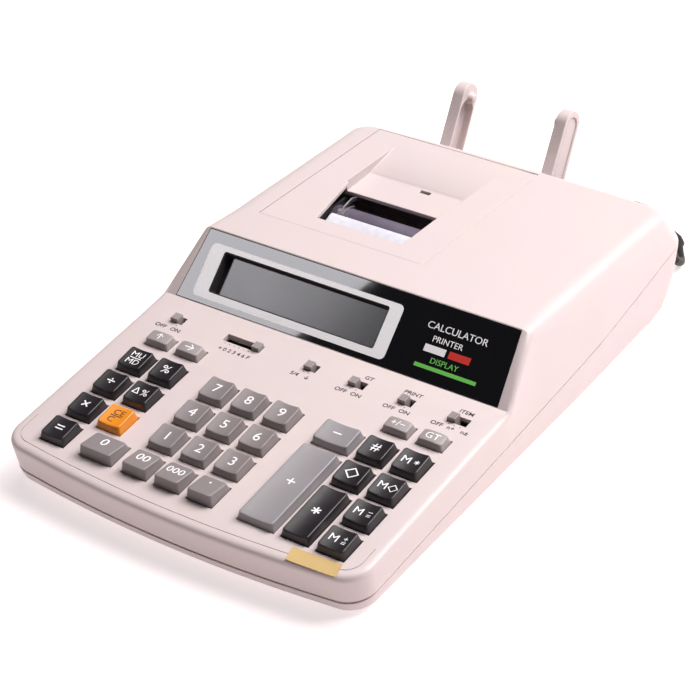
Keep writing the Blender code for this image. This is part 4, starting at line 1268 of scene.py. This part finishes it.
# ---------------------------------------------------------------- printer inside the window
def add_printer():
    """The roller, type wheels, tear bar, ink roller and side levers seen through the window."""
    x_low, x_high = PRINTER_X
    ends = (x_low + 1.8, x_high - 1.8)
    roller = [(x_low - 1.5, 1.9), (x_low - 1.2, 2.5), (ends[0], 2.5), (ends[0] + 0.05, 8.4)]
    roller += [(ends[0] + 0.3, PLATEN_RADIUS - 0.35), (ends[0] + 1.0, PLATEN_RADIUS)]
    roller += [(ends[1] - 1.0, PLATEN_RADIUS), (ends[1] - 0.3, PLATEN_RADIUS - 0.35)]
    roller += [(ends[1] - 0.05, 8.4), (ends[1], 2.5), (x_high + 1.2, 2.5), (x_high + 1.5, 1.9)]
    add_piece("roller", turned(roller, PLATEN_CENTRE, 64), ("platen",), "platen_roller",
              ("platen_roller",))

    count = 11
    pitch = (ends[1] - ends[0] - 10.0) / count
    wheels = [(x_low - 1.5, 2.0), (ends[0] + 4, 2.0)]
    for number in range(count):
        left = ends[0] + 5.0 + number * pitch
        wheels += [(left, 2.0), (left + 0.05, 6.6), (left + 0.5, 7.2), (left + pitch / 2 - 0.9, 7.2),
                   (left + pitch / 2 - 0.6, 6.7), (left + pitch / 2 - 0.3, 7.2), (left + pitch - 1.7, 7.2),
                   (left + pitch - 1.2, 6.6), (left + pitch - 1.15, 2.0)]
    wheels += [(x_high + 1.5, 2.0)]
    add_piece("type_wheels", turned(wheels, TYPE_SHAFT_CENTRE, 40), ("type_metal",),
              "type_wheel_shaft", ("type_wheel_shaft",))

    add_tear_bar()
    add_printer_levers()
    ink = [(PRINTER_X[0] + 4.0, 2.0), (PRINTER_X[0] + 4.1, 5.2), (PRINTER_X[0] + 4.6, 5.6),
           (PRINTER_X[1] - 4.6, 5.6), (PRINTER_X[1] - 4.1, 5.2), (PRINTER_X[1] - 4.0, 2.0)]
    add_piece("ink_roller", turned(ink, (163.2, 24.6), 32), ("platen",))


def add_tear_bar():
    """A clear bar across the window with a saw edge along its front."""
    low, high = WINDOW_X[0] - 1, WINDOW_X[1] - 1
    teeth = 46
    rings = []
    for number in range(2 * teeth + 1):
        x = low + (high - low) * number / (2 * teeth)
        tip = 171.6 if number % 2 else 172.5
        rings.append([(x, tip, 53.75), (x, 179.5, 55.25), (x, 179.5, 56.0), (x, 178.4, 56.2),
                      (x, 176.0, 55.75), (x, tip, 54.5)])
    add_piece("tear_bar", skin(rings), ("clear",), "case", ("paper_cutter",),
              30)


def add_printer_levers():
    """Bright pressed levers and two rollers at the left of the window."""
    shape = Shape()
    x_low = PRINTER_X[0] + 5.5
    lever = [(186.0, 50.5), (192.0, 53.6), (199.0, 54.6), (203.0, 53.2), (203.0, 51.6), (198.0, 52.4),
             (192.0, 51.4), (187.0, 48.6)]
    shape.add(plate(lever, x_low + 2.2, x_low + 3.2, across))
    shape.add(plate([(y - 6.0, z - 1.6) for y, z in lever], x_low + 5.0, x_low + 5.9, across))
    for y, z, width in ((183.5, 54.3, 4.6), (175.0, 52.0, 5.4)):
        shape.add(turned([(x_low + 5.0, 1.0), (x_low + 5.1, 2.5), (x_low + 5.0 + width, 2.5),
                          (x_low + 5.1 + width, 1.0)], (y, z), 24))
    add_piece("printer_levers", shape.body(), ("steel",))


# ---------------------------------------------------------------- paper-roll arms
ARM_FOOT_RADIUS = 7.5
ARM_HOLE_RADIUS = 2.75
PEG_LENGTH = 3.6
PEG_RADII = (3.4, 2.6)


def arm_frame():
    """The arm's places: pivot, knee, tip, the way along its blade and square to it."""
    pivot, knee, tip = (Vector(p) for p in (ARM_PIVOT, ARM_KNEE, ARM_TIP))
    blade = (tip - knee).normalized()
    return pivot, knee, tip, blade, Vector((blade.y, -blade.x))


def arm_outline():
    pivot, knee, tip, blade, side = arm_frame()
    half = ARM_WIDTH / 2
    lean = math.degrees(math.atan2(blade.y, blade.x))
    outline = arc(tip, half - 0.6, lean - 90.0, lean + 90.0, 18)
    outline += [tuple(knee - side * half)]
    outline += arc(pivot, ARM_FOOT_RADIUS, 130.0, 310.0, 18)
    outline += [tuple(knee + side * half - blade * 5.0)]
    return outline


def arm_channel(width, start, end):
    """Outline of a long recess down the blade, with round ends."""
    _, knee, tip, blade, side = arm_frame()
    lean = math.degrees(math.atan2(blade.y, blade.x))
    low, high = knee + blade * start, tip - blade * end
    return (arc(high, width / 2, lean - 90.0, lean + 90.0, 10)
            + arc(low, width / 2, lean + 90.0, lean + 270.0, 10))


def add_arm(name, x_inner, direction):
    """One arm; direction is +1 when it lies to the right of the roll and -1 to the left."""
    x_low, x_high = sorted((x_inner, x_inner + direction * ARM_THICKNESS))
    arm = add_piece("roll_" + name, plate(arm_outline(), x_low, x_high, across), ("case",), name,
                    (name,))
    cut(arm, turned([(x_low - 1, ARM_HOLE_RADIUS), (x_high + 1, ARM_HOLE_RADIUS)], ARM_PIVOT, 32))
    depth = ARM_THICKNESS - 2.6
    near, far = sorted((x_inner - direction, x_inner + direction * depth))
    cut(arm, plate(arm_channel(ARM_WIDTH - 4.4, -3.0, 8.0), near, far, across))
    outside = x_inner + direction * ARM_THICKNESS
    near, far = sorted((outside - direction * 0.7, outside + direction))
    cut(arm, plate(arm_channel(ARM_WIDTH - 7.0, 0.0, 1.0), near, far, across))
    root, nose = x_inner + direction, x_inner - direction * PEG_LENGTH
    thick, thin = PEG_RADII
    peg = [(root, thick), (nose + direction * 1.2, thick - 0.3), (nose + direction * 0.4, thin),
           (nose, thin - 0.7)]
    cut(arm, turned(sorted(peg), ARM_TIP, 32), "UNION")
    shade_smooth(arm)
    soften(arm, 0.6, 3, 45)


# ---------------------------------------------------------------- mains lead
COIL_START = math.radians(52.0)
COIL_END = math.radians(104.0)
POINTS_PER_TURN = 30
RELIEF_RADIUS = 4.4
RELIEF_TAPER = 1.5
RELIEF_GROOVE = 0.8
RELIEF_BANDS = 26
STEP_ACROSS = 0.32


def coil_places():
    """Radius and height of each turn: outer to inner along the table, then back out on top."""
    inner = COIL_MEAN_DIAMETER / 2 - CORD_DIAMETER * (COIL_TURNS_WIDE - 1) / 2
    radii = [inner + CORD_DIAMETER * column for column in range(COIL_TURNS_WIDE)]
    places = []
    for layer in range(COIL_TURNS_HIGH):
        order = radii if layer % 2 else list(reversed(radii))
        places += [(radius, CORD_DIAMETER * (layer + 0.5)) for radius in order]
    return places


def coil_points():
    """The coil's turns, each stepping over to the next in its last part."""
    places = coil_places()
    turns = len(places)
    sweep = 2 * math.pi * (turns - 1) + COIL_END - COIL_START + 2 * math.pi
    steps = round(POINTS_PER_TURN * sweep / (2 * math.pi))
    points = []
    for k in range(steps + 1):
        done = sweep * k / steps
        turn = min(int(done / (2 * math.pi)), turns - 1)
        part = done / (2 * math.pi) - turn
        share = max(0.0, min(1.0, (part - 1 + STEP_ACROSS) / STEP_ACROSS))
        share = share * share * (3 - 2 * share)
        here, there = places[turn], places[min(turn + 1, turns - 1)]
        radius = here[0] + (there[0] - here[0]) * share
        angle = COIL_START + done
        points.append(Vector((COIL_CENTRE[0] + radius * math.cos(angle),
                              COIL_CENTRE[1] + radius * math.sin(angle),
                              here[1] + (there[1] - here[1]) * share)))
    return points


def add_cord():
    """The whole lead as one curve: down to the table, eight turns, then on to the plug."""
    coil = coil_points()
    start = smooth_route([*LEAD_ROUTE, coil[2], coil[4]], 3.0)
    end = smooth_route([coil[-3], coil[-1], *TAIL_ROUTE], 3.0)
    path = start[:-1] + coil[4:-3] + end
    curve = bpy.data.curves.new("mains_lead", "CURVE")
    curve.dimensions = "3D"
    curve.bevel_depth = (CORD_DIAMETER / 2 - CORD_SKIN) * MM
    curve.bevel_resolution = 5
    curve.use_fill_caps = True
    spline = curve.splines.new("POLY")
    spline.points.add(len(path) - 1)
    for slot, point in zip(spline.points, path):
        slot.co = (*world(point), 1.0)
    spline.use_smooth = True
    curve.materials.append(FINISHES["cord"])
    lead = bpy.data.objects.new("mains_lead", curve)
    bpy.context.collection.objects.link(lead)
    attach(lead, "case")
    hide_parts("cord_lead", "cord_coil")
    relief = add_relief()
    plug = add_plug()
    tuple(world(LEAD_ROUTE[0]))


def add_relief():
    """Tapered strain relief with ring grooves between its flange and the lead."""
    route = smooth_route(RELIEF_ROUTE, 0.45)
    radii = []
    for t in spread(0.0, 1.0, len(route) - 1):
        grooved = 0.12 < t < 0.93 and int(t * RELIEF_BANDS) % 3 == 0
        radii.append(RELIEF_RADIUS - RELIEF_TAPER * t - (RELIEF_GROOVE if grooved else 0.0))
    return add_piece("relief", hose(route, radii), ("cord",), "case", ("bend_relief",))


def add_plug():
    """A flat two-pin plug: waisted body, ribbed tail, sleeved pins."""
    length, width, height = PLUG_SIZE
    half, middle = length / 2, height / 2
    heading = Matrix.Rotation(PLUG_HEADING, 3, "Z")
    base = Vector((*PLUG_PLACE, 0.0))

    def place(x, y, z):
        return tuple(base + heading @ Vector((x, y, z)))

    stations = ((-half, 0.62, 0.72, 2.5), (-half + 0.8, 0.74, 0.84, 3.0), (-half + 6.0, 0.9, 0.94, 3.2),
                (-2.0, 0.84, 0.9, 3.2), (half - 6.0, 0.97, 1.0, 3.2), (half - 1.0, 0.97, 1.0, 3.2),
                (half - 0.2, 0.93, 0.93, 2.8), (half, 0.88, 0.86, 2.4))
    shape = Shape()
    shape.add(skin([[(x, a, b + middle) for a, b in rounded_rectangle(width * w, height * h, corner, 5, 4)]
                    for x, w, h, corner in stations]), 0, place)
    tail = [(-half + 1.0, 4.4)]
    for rib in range(5):
        x = -half - 0.4 - rib * 2.2
        tail += [(x, 4.3 - rib * 0.28), (x - 1.3, 4.2 - rib * 0.28), (x - 1.4, 3.2), (x - 2.1, 3.2)]
    tail.append((-half - TAIL_LENGTH, 2.9))
    shape.add(turned(sorted(tail), (0, middle), 28), 0, place)
    for side in (-1, 1):
        for ink, profile in ((0, [(half - 1.0, 1.95), (half + 9.6, 1.95), (half + 10.0, 1.6)]),
                             (1, [(half + 9.0, 1.75), (half + PIN_LENGTH - 1.2, 1.75),
                                  (half + PIN_LENGTH - 0.3, 1.3), (half + PIN_LENGTH, 0.6)])):
            shape.add(turned(profile, (side * PIN_SPACING / 2, middle), 24), ink, place)
    return add_piece("mains_plug", shape.body(), ("cord", "steel"), "case", ("plug",))


# ---------------------------------------------------------------- feet and inner pieces
def add_feet():
    """Round rubber feet: a stepped rim and a shallow ring in the sole."""
    for side, direction in (("left", -1), ("right", 1)):
        for end, x, y in (("front", 90.0, -22.0), ("rear", 93.0, 244.0)):
            centre = (direction * x, y)
            profile = ((2.6, 0.5), (3.2, 0.0), (6.4, 0.0), (6.9, 0.4), (7.4, 1.2),
                       (7.4, BASE_BOTTOM - SEAM_GAP - 0.3), (7.1, BASE_BOTTOM - SEAM_GAP))
            rings = [[(px, py, z) for px, py in arc(centre, r, 0.0, 352.0, 44)] for r, z in profile]
            add_piece(f"rubber_{end}_{side}", skin(rings), ("rubber",), "case",
                      (f"foot_{end}_{side}",))


def finish_frame_nodes():
    """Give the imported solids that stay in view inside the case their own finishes."""
    for node, finish in (("printer_frame", "steel"), ("circuit_board", "board"),
                         ("transformer", "lamination")):
        piece = frame["nodes"][node]
        piece.data.materials.clear()
        piece.data.materials.append(FINISHES[finish])


# ---------------------------------------------------------------- build
add_camera()
add_studio()
FINISHES = make_finishes()
add_cord()
add_upper_case()
add_lower_case()
add_case_screws()
add_printer_cover()
add_display()
add_fascia_marks()
add_keys()
add_switches()
add_deck_printing()
add_label()
add_printer()
add_arm("paper_arm_left", PAPER_X - ARM_INNER_SPACING / 2, -1)
add_arm("paper_arm_right", PAPER_X + ARM_INNER_SPACING / 2, 1)
add_feet()
finish_frame_nodes()
